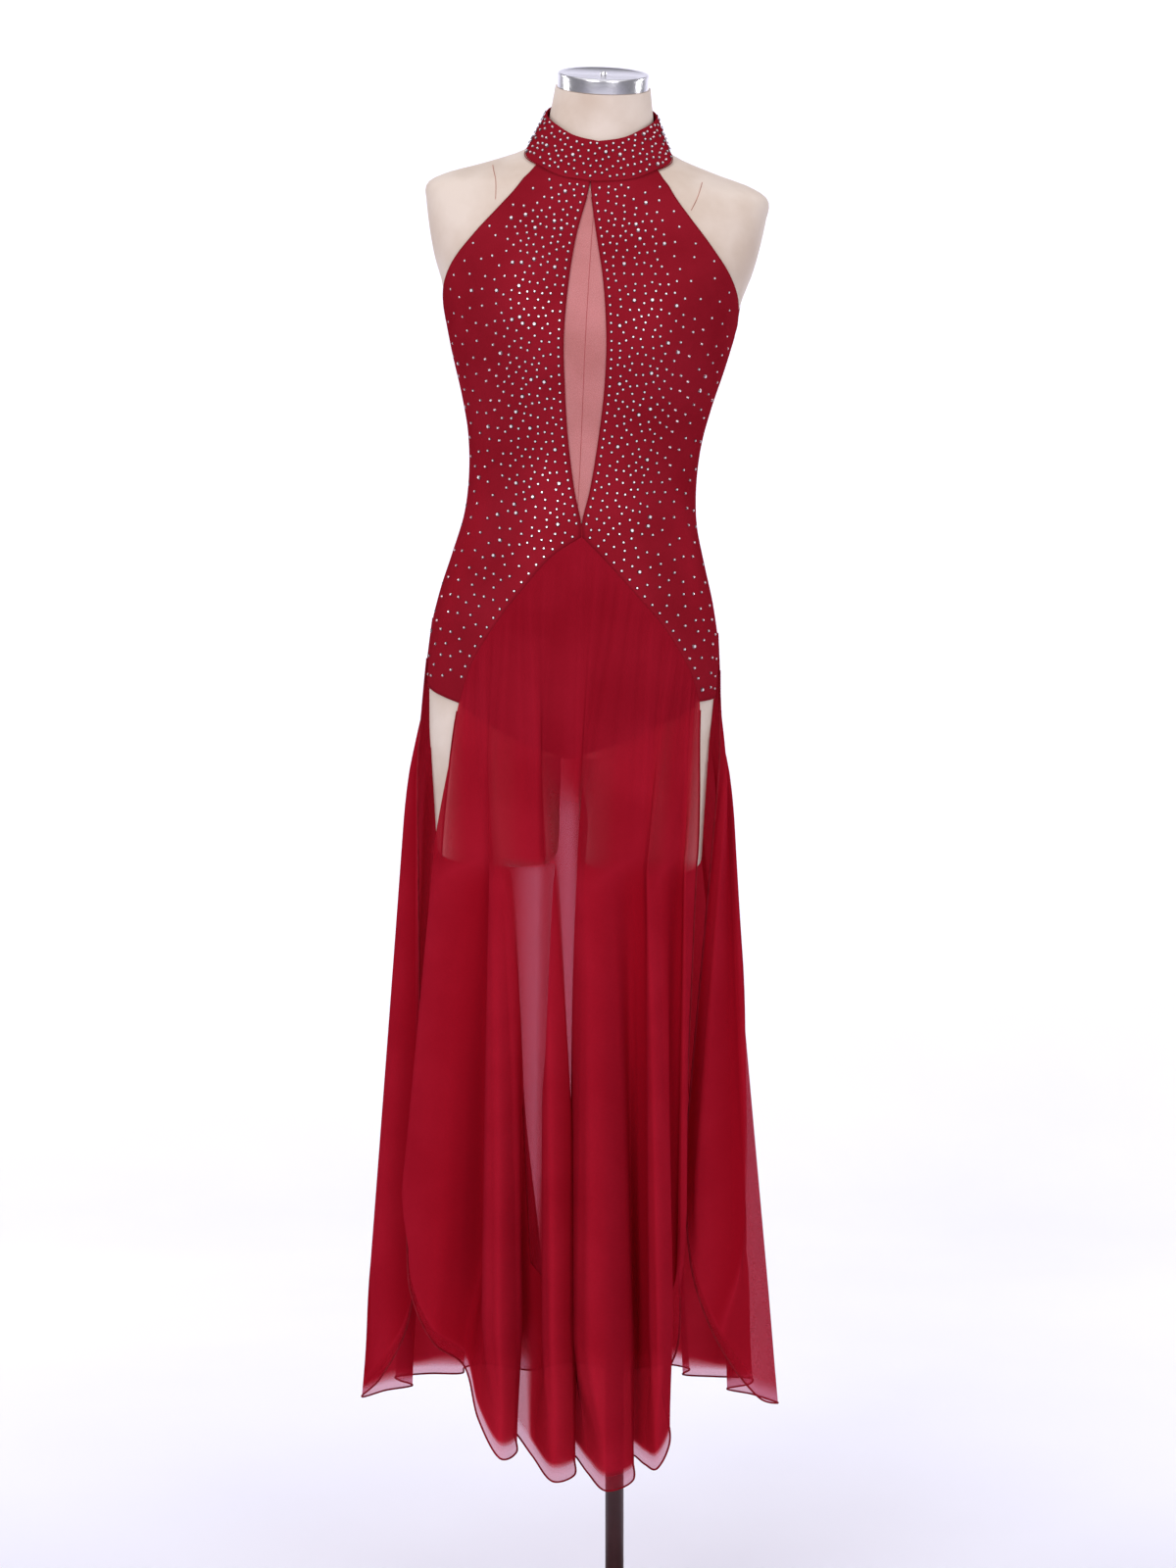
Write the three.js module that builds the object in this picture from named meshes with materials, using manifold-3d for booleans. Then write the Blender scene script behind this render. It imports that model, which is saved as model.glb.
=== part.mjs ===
// A lyrical dance dress on a headless, limbless dress form with a round stand.
// Millimetres, +Z up, the wearer's front faces -Y. The origin is the centre of the
// stand's underside, on the axis of its pole.
//
// The form is a stack of sections about a leaning axis. Every fitted piece of the
// leotard is a wall raised from those same sections, and the two chiffon panels start
// on them and then fall in flutes to their hems.
import * as THREE from 'three';
import { mergeVertices } from 'three/addons/utils/BufferGeometryUtils.js';
import Module from 'manifold-3d';

const wasm = await Module();
wasm.setup();

// ---- driving sizes ---------------------------------------------------------------
const BASE = { radius: 185, thick: 9, rim: 3, hubRadius: 23, hubHeight: 52 };
const POLE = { radius: 10.5, top: 955, clearance: 0.3 };
const LEAN = THREE.MathUtils.degToRad(3);      // the form leans towards +X
const PIVOT = { x: -51, w: 1045 };             // the form's axis passes here
const NECK_TOP = 1766;
const NECK_TILT = THREE.MathUtils.degToRad(18);
const CAP = { radius: 51, height: 16, screwRadius: 4, screwHeight: 3 };

const AIR = 1.4;          // between the form and the cloth on it
const SEAM = 0.3;         // between two pieces at a seam
const STRETCH = 1.2;      // wall of the stretch satin
const NET = 1.0;          // wall of the net insert
const CHIFFON = 1.0;      // wall of the skirt panels
const COLLAR_WALL = 1.6;
const COLLAR_EASE = 3;    // air between the neck and the collar's top edge
const SLOPED_SEAM = 1.1;  // the same, measured upright at the collar and the skirt's seam
const OVER = AIR + STRETCH + SEAM;             // what lies on the leotard starts here

// Sections of the form: w is the height along its axis, `half` the half width,
// `front` and `back` the depths, `square` the exponent of the section's outline
// and `tilt` how far the section tips forward, in degrees.
const SECTIONS = [
  { w: 890, half: 148, front: 94, back: 102, square: 2.5, tilt: 0 },
  { w: 960, half: 152, front: 98, back: 109, square: 2.5, tilt: 0 },
  { w: 1024, half: 156, front: 101, back: 117, square: 2.4, tilt: 0 },
  { w: 1111, half: 160, front: 104, back: 124, square: 2.3, tilt: 0 },
  { w: 1155, half: 159, front: 104, back: 122, square: 2.2, tilt: 0 },
  { w: 1199, half: 151, front: 103, back: 112, square: 2.2, tilt: 0 },
  { w: 1243, half: 139, front: 100, back: 98, square: 2.2, tilt: 0 },
  { w: 1287, half: 128, front: 96, back: 86, square: 2.2, tilt: 0 },
  { w: 1331, half: 125, front: 94, back: 80, square: 2.2, tilt: 0 },
  { w: 1375, half: 128, front: 99, back: 82, square: 2.2, tilt: 0 },
  { w: 1419, half: 137, front: 111, back: 90, square: 2.2, tilt: 0 },
  { w: 1463, half: 149, front: 124, back: 98, square: 2.3, tilt: 0 },
  { w: 1500, half: 158, front: 126, back: 104, square: 2.4, tilt: 0 },
  { w: 1540, half: 167, front: 118, back: 108, square: 2.7, tilt: 0 },
  { w: 1570, half: 177, front: 108, back: 108, square: 2.9, tilt: 0 },
  { w: 1600, half: 184, front: 95, back: 105, square: 3.2, tilt: 0 },
  { w: 1630, half: 189, front: 80, back: 98, square: 3.4, tilt: 0 },
  { w: 1650, half: 190, front: 70, back: 90, square: 3.0, tilt: 0 },
  { w: 1665, half: 170, front: 64, back: 82, square: 2.4, tilt: 4 },
  { w: 1680, half: 126, front: 58, back: 74, square: 2.1, tilt: 8 },
  { w: 1696, half: 84, front: 54, back: 66, square: 2.0, tilt: 12 },
  { w: 1715, half: 62, front: 51, back: 60, square: 2.0, tilt: 16 },
  { w: 1740, half: 57, front: 52, back: 54, square: 2.0, tilt: 18 },
  { w: NECK_TOP, half: 53, front: 55, back: 47, square: 2.0, tilt: 18 },
];

const CROTCH = 1024;

// Each thigh stub, from inside the hips down to its rounded end. The stubs are also
// kept inside the sections above.
const THIGH = [
  { w: 898, inner: 40, outer: 120, front: 68, back: 74 },
  { w: 902, inner: 22, outer: 138, front: 84, back: 92 },
  { w: 914, inner: 14, outer: 149, front: 96, back: 104 },
  { w: 960, inner: 12, outer: 156, front: 101, back: 113 },
  { w: 1024, inner: 11, outer: 160, front: 104, back: 120 },
  { w: 1060, inner: 20, outer: 160, front: 104, back: 120 },
];
const THIGH_SQUARE = 3;

// The collar's lower and upper edges by the angle from centre front, in degrees.
const COLLAR = [
  { angle: 0, low: 1654, high: 1715 },
  { angle: 30, low: 1661, high: 1720 },
  { angle: 55, low: 1681, high: 1729 },
  { angle: 90, low: 1703, high: 1737 },
  { angle: 135, low: 1711, high: 1742 },
  { angle: 180, low: 1713, high: 1744 },
];

// Edges that the two bodice fronts share with the net insert and with the skirt's
// seam: `left` and `right` are the distances from the form's axis.
const CENTRE_EDGE = [
  { w: 1654, left: -5.8, right: -5.8 },
  { w: 1644, left: -6.6, right: -5.0 },
  { w: 1591, left: -16.8, right: 5.5 },
  { w: 1539, left: -21.8, right: 16.2 },
  { w: 1477, left: -23.6, right: 22.9 },
  { w: 1428, left: -20.5, right: 23.0 },
  { w: 1374, left: -15.1, right: 19.0 },
  { w: 1316, left: -5.2, right: 12.4 },
  { w: 1280, left: 4.2, right: 5.6 },
  { w: 1264, left: 6.2, right: 6.2 },
];
const SKIRT_SEAM = [
  { w: 1264, left: 6.2, right: 6.2 },
  { w: 1242, left: -24, right: 30 },
  { w: 1205, left: -54, right: 67 },
  { w: 1170, left: -79, right: 100 },
  { w: 1128, left: -103, right: 128 },
  { w: 1103, left: -112, right: 138 },
  { w: 1091, left: -115, right: 142 },
  { w: 1075, left: -119, right: 146 },
];
const ABOVE_POINT = 0.6;    // share of a bodice front's rows above the seam's point
const SKIRT_SEAM_END = { left: 1077, right: 1092 };   // where it meets the leg opening

// Armholes: the front one as a distance from the axis, the back one as an angle.
const ARMHOLE_FRONT = [
  { w: 1680, reach: 64 },
  { w: 1644, reach: 84 },
  { w: 1620, reach: 102 },
  { w: 1588, reach: 128 },
  { w: 1560, reach: 149 },
  { w: 1538, reach: 159 },
  { w: 1515, reach: 160.5 },
  { w: 1498, reach: 157.4 },
];
const ARMHOLE_BACK = [
  { w: 1498, angle: 90 },
  { w: 1520, angle: 97 },
  { w: 1560, angle: 108 },
  { w: 1610, angle: 121 },
  { w: 1650, angle: 133 },
  { w: 1706, angle: 142 },
];
const UNDERARM = 1498;
const SHOULDER_BRIDGE = 1.8;   // how far the back stands off below the shoulder
const PLATE_BRIDGE = 1.2;      // and the front beside the arm plates
const LEG_SIDE = 1098;                          // the leg opening at the side seam
// Leg opening: height by the distance from the axis, the same front and back.
const LEG_OPENING = [
  { reach: 9.5, w: 1026 },
  { reach: 27, w: 1031 },
  { reach: 64, w: 1045 },
  { reach: 97, w: 1062 },
  { reach: 120, w: 1075 },
  { reach: 143, w: 1089 },
  { reach: 160, w: LEG_SIDE },
];
const BUTTON = { radius: 4.5, thick: 2, beside: Math.PI - 0.12 };
const KEYHOLE = { top: 1712, bottom: 1530, half: 9 };   // slit below the collar's fastening
const GUSSET = { half: 9.2 };

// ---- skirt panels ----------------------------------------------------------------
// Plan of the front panel's hem, crest by trough from its left edge to its right one.
const FRONT_HEM = [
  { x: -229, y: -72, z: 500 },
  { x: -222, y: -98, z: 432 },
  { x: -196, y: -112, z: 380 },
  { x: -164, y: -92, z: 350 },
  { x: -147, y: -112, z: 296 },
  { x: -120, y: -152, z: 262 },
  { x: -104, y: -120, z: 262 },
  { x: -108, y: -92, z: 276 },
  { x: -88, y: -112, z: 256 },
  { x: -62, y: -162, z: 240 },
  { x: -40, y: -132, z: 240 },
  { x: -42, y: -96, z: 252 },
  { x: -26, y: -124, z: 240 },
  { x: -4, y: -168, z: 232 },
  { x: 24, y: -138, z: 236 },
  { x: 23, y: -102, z: 254 },
  { x: 36, y: -122, z: 250 },
  { x: 50, y: -150, z: 252 },
  { x: 64, y: -122, z: 276 },
  { x: 56, y: -94, z: 330 },
  { x: 72, y: -84, z: 372 },
  { x: 74, y: -66, z: 470 },
];
// Where the same lines pass the thighs: distances across, along the form's own curve.
const FRONT_WAIST = { z: 905, left: -190, right: 92, ease: 6, lift: 3 };
const FRONT_ROWS = { onForm: 7, hanging: 6 };
const FRONT_COLUMNS = 54;

// Plan of the back panel's hem from its right front edge round the back to its left
// one, about the skirt's own centre.
const SKIRT_CENTRE = -50;
const BACK_HEM = [
  { x: 128, y: -30, z: 560 },
  { x: 140, y: -52, z: 440 },
  { x: 172, y: -50, z: 360 },
  { x: 214, y: -36, z: 303 },
  { x: 235, y: -6, z: 291 },
  { x: 206, y: 26, z: 293 },
  { x: 178, y: 50, z: 293 },
  { x: 204, y: 88, z: 290 },
  { x: 206, y: 122, z: 289 },
  { x: 166, y: 120, z: 291 },
  { x: 128, y: 128, z: 291 },
  { x: 134, y: 172, z: 288 },
  { x: 108, y: 198, z: 287 },
  { x: 74, y: 168, z: 290 },
  { x: 48, y: 150, z: 290 },
  { x: 26, y: 190, z: 287 },
  { x: -4, y: 212, z: 286 },
  { x: -32, y: 180, z: 289 },
  { x: -52, y: 150, z: 290 },
  { x: -84, y: 176, z: 288 },
  { x: -112, y: 196, z: 287 },
  { x: -132, y: 166, z: 289 },
  { x: -134, y: 126, z: 291 },
  { x: -172, y: 124, z: 291 },
  { x: -208, y: 112, z: 290 },
  { x: -202, y: 80, z: 293 },
  { x: -184, y: 46, z: 295 },
  { x: -212, y: 22, z: 295 },
  { x: -236, y: -10, z: 295 },
  { x: -212, y: -44, z: 324 },
  { x: -182, y: -52, z: 382 },
  { x: -166, y: -34, z: 490 },
];
const BACK_TOP = { w: 1168, edge: 91, lift: 1.0 };   // the seam round the hips
const BACK_RING = {
  z: 1020, half: 177, back: 146, square: 2.2, edge: 82,
  curl: 0.035, curlShare: 0.09,      // its ends curl in towards the thighs
};
const BACK_ROWS = { onForm: 5, hanging: 6 };
const BACK_COLUMNS = 78;

// ---- materials -------------------------------------------------------------------
const paint = (color, roughness, metalness = 0) =>
  new THREE.MeshStandardMaterial({ color, roughness, metalness });
const LINEN = paint('#e8dacb', 0.85);
const CHROME = paint('#c9c6cc', 0.18, 1);
const DARK_STEEL = paint('#4a3a3a', 0.4, 0.9);
const SATIN = paint('#971a29', 0.45);
const NET_FABRIC = paint('#b3505a', 0.8);
const SHEER = paint('#a01a2c', 0.7);

// ---- tables ----------------------------------------------------------------------
// Value of one column at a place between rows, on a smooth cubic through the rows.
function sample(table, key, at, by = 'w') {
  const rising = table[table.length - 1][by] > table[0][by];
  const rows = rising ? table : [...table].reverse();
  const last = rows.length - 1;
  const place = THREE.MathUtils.clamp(at, rows[0][by], rows[last][by]);
  let k = 0;
  while (k < last - 1 && place > rows[k + 1][by]) k += 1;
  const slope = (i) => {
    const before = rows[Math.max(0, i - 1)];
    const after = rows[Math.min(last, i + 1)];
    return (after[key] - before[key]) / (after[by] - before[by]);
  };
  const span = rows[k + 1][by] - rows[k][by];
  const t = (place - rows[k][by]) / span;
  const t2 = t * t;
  const t3 = t2 * t;
  return (2 * t3 - 3 * t2 + 1) * rows[k][key] + (t3 - 2 * t2 + t) * span * slope(k)
    + (3 * t2 - 2 * t3) * rows[k + 1][key] + (t3 - t2) * span * slope(k + 1);
}

const lerp = THREE.MathUtils.lerp;
const smooth = (t) => THREE.MathUtils.smoothstep(t, 0, 1);
const radians = THREE.MathUtils.degToRad;

// ---- the form's surface ----------------------------------------------------------
// Where the form's axis runs: it leans above the hips and is upright below them.
const axisAt = (w) => PIVOT.x + Math.max(0, w - PIVOT.w) * Math.sin(LEAN);

// A point of the form's own frame, across, in depth and along the axis, in space.
function leaned(across, depth, w) {
  const rise = w - PIVOT.w;
  return new THREE.Vector3(
    axisAt(w) + across * Math.cos(LEAN),
    depth,
    PIVOT.w - across * Math.sin(LEAN) + rise * Math.cos(LEAN),
  );
}

function section(w) {
  const at = (key) => sample(SECTIONS, key, w);
  return {
    half: at('half'), front: at('front'), back: at('back'),
    square: at('square'), tilt: radians(Math.max(0, at('tilt'))),
  };
}

// The form's skin at an angle from centre front, positive towards +X.
function skin(angle, w) {
  const s = section(w);
  const sine = Math.abs(Math.sin(angle));
  const cosine = Math.cos(angle);
  const deep = cosine > 0 ? s.front : s.back;
  const radius = (
    (sine / s.half) ** s.square + (Math.abs(cosine) / deep) ** s.square
  ) ** (-1 / s.square);
  const depth = -radius * cosine;
  const middle = (s.back - s.front) / 2;
  return leaned(radius * Math.sin(angle), depth, w + (depth - middle) * Math.tan(s.tilt));
}

// The same, moved out along the skin's normal.
function raised(angle, w, out) {
  const step = 0.01;
  const along = skin(angle + step, w).sub(skin(angle - step, w));
  const up = skin(angle, Math.min(w + 2, NECK_TOP)).sub(skin(angle, w - 2));
  const normal = along.cross(up).normalize();
  return skin(angle, w).addScaledVector(normal, out);
}

// The angle at which the skin lies a given distance across, in front of the axis.
function angleAt(across, w) {
  const s = section(w);
  const share = Math.min(Math.abs(across) / s.half, 1);
  const depth = s.front * (1 - share ** s.square) ** (1 / s.square);
  return Math.sign(across) * Math.atan2(share * s.half, depth);
}

// ---- walls -----------------------------------------------------------------------
// A closed solid from rings of points, each ring closed on itself, capped at both ends.
function solidOfRings(rings) {
  const around = rings[0].length;
  const points = rings.flat();
  const faces = [];
  for (let r = 0; r < rings.length - 1; r += 1) {
    for (let i = 0; i < around; i += 1) {
      const j = (i + 1) % around;
      const [a, b] = [r * around + i, r * around + j];
      faces.push(a, b, b + around, a, b + around, a + around);
    }
  }
  for (const [ring, flip] of [[0, true], [rings.length - 1, false]]) {
    const centre = new THREE.Vector3();
    rings[ring].forEach((p) => centre.addScaledVector(p, 1 / around));
    const hub = points.push(centre) - 1;
    for (let i = 0; i < around; i += 1) {
      const a = ring * around + i;
      const b = ring * around + ((i + 1) % around);
      faces.push(...(flip ? [hub, b, a] : [hub, a, b]));
    }
  }
  return closed(points, faces);
}

// A closed wall over a grid of points, thick on the side its normals point to.
function wallOfGrid(grid, thick) {
  const rows = grid.length;
  const columns = grid[0].length;
  const at = (r, c) =>
    grid[THREE.MathUtils.clamp(r, 0, rows - 1)][THREE.MathUtils.clamp(c, 0, columns - 1)];
  const inner = grid.flat();
  const normals = grid.flatMap((row, r) => row.map((_, c) => {
    const across = at(r, c + 1).clone().sub(at(r, c - 1));
    const down = at(r + 1, c).clone().sub(at(r - 1, c));
    return down.cross(across).normalize();
  }));
  const outer = inner.map((p, i) => p.clone().addScaledVector(normals[i], thick));
  const points = [...inner, ...outer];
  const shift = inner.length;
  const faces = [];
  const quad = (a, b, c, d) => faces.push(a, b, c, a, c, d);
  // Each cell is split on the diagonal that stands proud, so a wall clears the form.
  for (let r = 0; r < rows - 1; r += 1) {
    for (let c = 0; c < columns - 1; c += 1) {
      const a = r * columns + c;
      const [b, d, e] = [a + 1, a + columns, a + columns + 1];
      const twist = inner[a].clone().add(inner[e]).sub(inner[b]).sub(inner[d]);
      const [p, q, s, t] = twist.dot(normals[a]) > 0 ? [a, b, e, d] : [b, e, d, a];
      quad(p, q, s, t);
      quad(p + shift, t + shift, s + shift, q + shift);
    }
  }
  const rim = [];
  for (let c = 0; c < columns; c += 1) rim.push(c);
  for (let r = 1; r < rows; r += 1) rim.push(r * columns + columns - 1);
  for (let c = columns - 2; c >= 0; c -= 1) rim.push((rows - 1) * columns + c);
  for (let r = rows - 2; r > 0; r -= 1) rim.push(r * columns);
  rim.forEach((a, i) => {
    const b = rim[(i + 1) % rim.length];
    quad(b, a, a + shift, b + shift);
  });
  return closed(points, faces);
}

// An indexed geometry whose faces point out.
function closed(points, faces) {
  let volume = 0;
  for (let f = 0; f < faces.length; f += 3) {
    const [a, b, c] = [points[faces[f]], points[faces[f + 1]], points[faces[f + 2]]];
    volume += a.dot(b.clone().cross(c));
  }
  if (volume < 0) {
    for (let f = 0; f < faces.length; f += 3) {
      [faces[f + 1], faces[f + 2]] = [faces[f + 2], faces[f + 1]];
    }
  }
  const geometry = new THREE.BufferGeometry();
  geometry.setAttribute('position', new THREE.Float32BufferAttribute(
    points.flatMap((p) => [p.x, p.y, p.z]), 3,
  ));
  geometry.setIndex(faces);
  return geometry;
}

// Rows run down and columns towards the wearer's left, so that a wall thickens outwards;
// `mirrored` turns the columns of a piece that was worked out the other way.
const gridOf = (rows, columns, point, mirrored = false) =>
  Array.from({ length: rows + 1 }, (_, r) =>
    Array.from({ length: columns + 1 }, (_, c) =>
      point(r / rows, (mirrored ? columns - c : c) / columns)));

// ---- joining and cutting ---------------------------------------------------------
function solid(geometry) {
  const bare = geometry.clone();
  bare.deleteAttribute('normal');
  bare.deleteAttribute('uv');
  const merged = mergeVertices(bare, 1e-4);
  return new wasm.Manifold(new wasm.Mesh({
    numProp: 3,
    vertProperties: new Float32Array(merged.attributes.position.array),
    triVerts: new Uint32Array(merged.index.array),
  }));
}

function geometryOf(manifold) {
  const mesh = manifold.getMesh();
  const geometry = new THREE.BufferGeometry();
  geometry.setAttribute('position', new THREE.BufferAttribute(mesh.vertProperties, 3));
  geometry.setIndex(new THREE.BufferAttribute(mesh.triVerts, 1));
  return geometry;
}

// ---- stand -----------------------------------------------------------------------
function baseGeometry() {
  const { radius, thick, rim, hubRadius, hubHeight } = BASE;
  const bore = POLE.radius + POLE.clearance;
  const profile = [
    [0, 0], [radius - rim, 0], [radius, rim], [radius, thick - rim], [radius - rim, thick],
    [hubRadius + 6, thick], [hubRadius, thick + 6], [hubRadius, hubHeight - rim],
    [hubRadius - rim, hubHeight], [bore, hubHeight], [bore, thick], [0, thick],
  ].map(([r, z]) => new THREE.Vector2(r, z));
  return upright(new THREE.LatheGeometry(profile, 30));
}

// Turns a shape made about +Y to stand about +Z.
const upright = (geometry) => geometry.rotateX(Math.PI / 2);

function poleGeometry() {
  const foot = BASE.thick + POLE.clearance;
  const height = POLE.top - foot;
  return upright(new THREE.CylinderGeometry(POLE.radius, POLE.radius, height, 16))
    .translate(0, 0, foot + height / 2);
}

// ---- form ------------------------------------------------------------------------
function formGeometry() {
  const around = 32;
  const levels = [
    CROTCH, 1060, 1100, 1140, 1175, 1205, 1235, 1262, 1288, 1312, 1336, 1360, 1385, 1415,
    1445, 1470, 1500, 1530, 1560, 1595, 1625, 1644, 1654, 1662, 1671, 1680, 1688, 1696, 1705,
    1715, 1726, 1740, NECK_TOP,
  ];
  const turn = (i) => (2 * Math.PI * i) / around;
  const ring = (point) => Array.from({ length: around }, (_, i) => point(turn(i)));
  const stack = (heights) => solid(solidOfRings(heights.map((w) => ring((a) => skin(a, w)))));
  const legs = stack([890, 925, 960, 990, CROTCH, 1055]);
  let body = stack(levels);
  for (const side of [-1, 1]) {
    const rings = THIGH.map((row) => Array.from({ length: 20 }, (_, i) => {
      const angle = (2 * Math.PI * i) / 20;
      const [s, c] = [Math.sin(angle), Math.cos(angle)];
      const power = 2 / THIGH_SQUARE;
      const half = (row.outer - row.inner) / 2;
      const across = (row.inner + row.outer) / 2 + half * Math.sign(s) * Math.abs(s) ** power;
      const deep = c > 0 ? row.front : row.back;
      return leaned(side * across, -deep * Math.sign(c) * Math.abs(c) ** power, row.w);
    }));
    body = body.add(solid(solidOfRings(rings)).intersect(legs));
  }
  const depth = 70;
  const socket = upright(
    new THREE.CylinderGeometry(POLE.radius + POLE.clearance, POLE.radius + POLE.clearance,
      2 * depth, 16),
  ).translate(0, 0, POLE.top + POLE.clearance - depth);
  return geometryOf(body.subtract(solid(socket)));
}

// The cap's frame: on the neck's top face, turned with it.
function capGroup() {
  const s = section(NECK_TOP);
  const group = new THREE.Group();
  group.position.copy(leaned(0, (s.back - s.front) / 2, NECK_TOP));
  group.rotation.order = 'YXZ';
  group.rotation.set(NECK_TILT, LEAN, 0);
  const disc = new THREE.LatheGeometry([
    [0, 0], [CAP.radius, 0], [CAP.radius, CAP.height - 2], [CAP.radius - 2, CAP.height],
    [0, CAP.height],
  ].map(([r, z]) => new THREE.Vector2(r, z)), 36);
  const cap = new THREE.Mesh(upright(disc).translate(0, 0, SEAM), CHROME);
  cap.name = 'neck_cap';
  const head = upright(
    new THREE.CylinderGeometry(CAP.screwRadius, CAP.screwRadius, CAP.screwHeight, 12),
  ).translate(0, 0, CAP.height + 2 * SEAM + CAP.screwHeight / 2);
  const screw = new THREE.Mesh(head, CHROME);
  screw.name = 'neck_cap_screw';
  group.add(cap, screw);
  return group;
}

// ---- collar ----------------------------------------------------------------------
const collarEdge = (key, angle) =>
  sample(COLLAR, key, Math.min(Math.abs(THREE.MathUtils.radToDeg(angle)), 180), 'angle');

// The collar's inner face, from its top edge down to the neckline.
const collarFace = (angle, down) =>
  raised(angle, collarEdge('high', angle), COLLAR_EASE)
    .lerp(raised(angle, collarEdge('low', angle), AIR), down);

function collarGeometry() {
  const opening = radians(0.35);
  const grid = gridOf(3, 34, (down, across) =>
    collarFace(lerp(-Math.PI + opening, Math.PI - opening, across), down));
  return wallOfGrid(grid, COLLAR_WALL);
}

// Two small buttons on the collar's overlap at centre back.
function buttonGeometry(down) {
  const { radius, thick, beside } = BUTTON;
  const step = 0.05;
  const along = collarFace(beside + step, down).sub(collarFace(beside - step, down));
  const fall = collarFace(beside, down + step).sub(collarFace(beside, down - step));
  const facing = fall.cross(along).normalize();
  const centre = collarFace(beside, down)
    .addScaledVector(facing, COLLAR_WALL + 2 * SEAM + thick / 2);
  const button = new THREE.CylinderGeometry(radius, radius, thick, 14);
  button.applyQuaternion(
    new THREE.Quaternion().setFromUnitVectors(new THREE.Vector3(0, 1, 0), facing),
  );
  return button.translate(centre.x, centre.y, centre.z);
}

// ---- leotard ---------------------------------------------------------------------
const centreEdge = (side, w) =>
  sample(w > SKIRT_SEAM[0].w ? CENTRE_EDGE : SKIRT_SEAM, side, w);

// Columns of a bodice piece, closer together where the form turns at its arm plate.
const towardsSide = (share) => share ** 0.8;

function bodiceFront(side) {
  const sign = side === 'left' ? -1 : 1;
  const bottomIn = SKIRT_SEAM_END[side];
  const top = { inner: COLLAR[0].low, outer: ARMHOLE_FRONT[0].w };
  const point = SKIRT_SEAM[0].w;
  const neck = {
    inner: angleAt(centreEdge(side, top.inner), top.inner),
    outer: sign * angleAt(ARMHOLE_FRONT[0].reach, top.outer),
  };
  const grid = gridOf(25, 10, (down, share) => {
    const across = towardsSide(share);
    const neckline = collarEdge('low', lerp(neck.inner, neck.outer, across));
    const dip = neckline - lerp(top.inner, top.outer, across);
    const wInner = down < ABOVE_POINT
      ? lerp(top.inner, point, down / ABOVE_POINT)
      : lerp(point, bottomIn, (down - ABOVE_POINT) / (1 - ABOVE_POINT));
    const wOuter = lerp(top.outer, LEG_SIDE, down);
    const inner = angleAt(centreEdge(side, wInner) + sign * SEAM / 2, wInner);
    const outer = wOuter > UNDERARM
      ? sign * angleAt(sample(ARMHOLE_FRONT, 'reach', wOuter), wOuter)
      : sign * (Math.PI / 2);
    const edge = wOuter > UNDERARM ? outer : outer - sign * SEAM / 2 / section(wOuter).half;
    const angle = lerp(inner, edge, across);
    const w = lerp(wInner, wOuter, across) + dip * (1 - down) ** 6
      - SLOPED_SEAM * (1 - down) ** 3;
    const bridge = PLATE_BRIDGE * across * Math.sin(Math.PI * Math.min(1, down / 0.5));
    return raised(angle, w, AIR + bridge);
  }, side === 'left');
  return wallOfGrid(grid, STRETCH);
}

function netInsert() {
  const [top, bottom] = [1640, 1284];
  const grid = gridOf(16, 2, (down, across) => {
    const w = lerp(top, bottom, down);
    const left = angleAt(centreEdge('left', w) + SEAM / 2, w);
    const right = angleAt(centreEdge('right', w) - SEAM / 2, w);
    return raised(lerp(left, right, across), w, AIR);
  });
  return wallOfGrid(grid, NET);
}

// Height of the leg opening at a distance across.
const legLine = (across) => sample(LEG_OPENING, 'w', Math.abs(across), 'reach');

// The seam of the front skirt panel, from its left end over the point to its right
// end: `along` runs from 0 to 1.
function skirtSeam(along) {
  const side = along < 0.5 ? 'left' : 'right';
  const reach = Math.abs(along - 0.5) * 2;
  const w = lerp(SKIRT_SEAM[0].w, SKIRT_SEAM_END[side], reach);
  return { across: sample(SKIRT_SEAM, side, w), w };
}

function briefFront() {
  const grid = gridOf(6, 22, (down, along) => {
    const seam = skirtSeam(lerp(0.035, 0.965, along));
    const top = seam.w - SLOPED_SEAM;
    const foot = legLine(seam.across);
    const w = lerp(top, Math.min(foot, top - 3), down);
    return raised(angleAt(seam.across, w), w, AIR);
  });
  return wallOfGrid(grid, STRETCH);
}

function bodiceBack(side) {
  const sign = side === 'left' ? -1 : 1;
  const grid = gridOf(25, 10, (down, share) => {
    const across = towardsSide(share);
    const top = collarEdge('low', Math.PI) - SLOPED_SEAM;
    const wInner = lerp(top, LEG_OPENING[0].w, down);
    const wOuter = lerp(ARMHOLE_BACK.at(-1).w, LEG_SIDE, down);
    const open = wInner > KEYHOLE.bottom
      ? KEYHOLE.half * Math.sin(Math.PI * Math.min(1,
        (wInner - KEYHOLE.bottom) / (KEYHOLE.top - KEYHOLE.bottom))) ** 0.7
      : 0;
    const inner = Math.PI - Math.asin((open + SEAM / 2) / section(wInner).back);
    const outer = wOuter > UNDERARM
      ? radians(sample(ARMHOLE_BACK, 'angle', wOuter))
      : Math.PI / 2 + SEAM / 2 / section(wOuter).half;
    const angle = lerp(inner, outer, across);
    const level = lerp(wInner, wOuter, across);
    const across0 = Math.abs(Math.sin(angle)) * section(level).half;
    const hang = legLine(Math.max(across0, LEG_OPENING[0].reach)) - level;
    const neckAngle = lerp(Math.PI, radians(ARMHOLE_BACK.at(-1).angle), across);
    const dip = collarEdge('low', neckAngle) - SLOPED_SEAM
      - lerp(top, ARMHOLE_BACK.at(-1).w, across);
    const w = level + dip * (1 - down) ** 6 + hang * down ** 8;
    const bridge = SHOULDER_BRIDGE * Math.sin(Math.PI * Math.min(1, down / 0.25));
    return raised(sign * angle, w, AIR + bridge);
  }, side === 'right');
  return wallOfGrid(grid, STRETCH);
}

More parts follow.
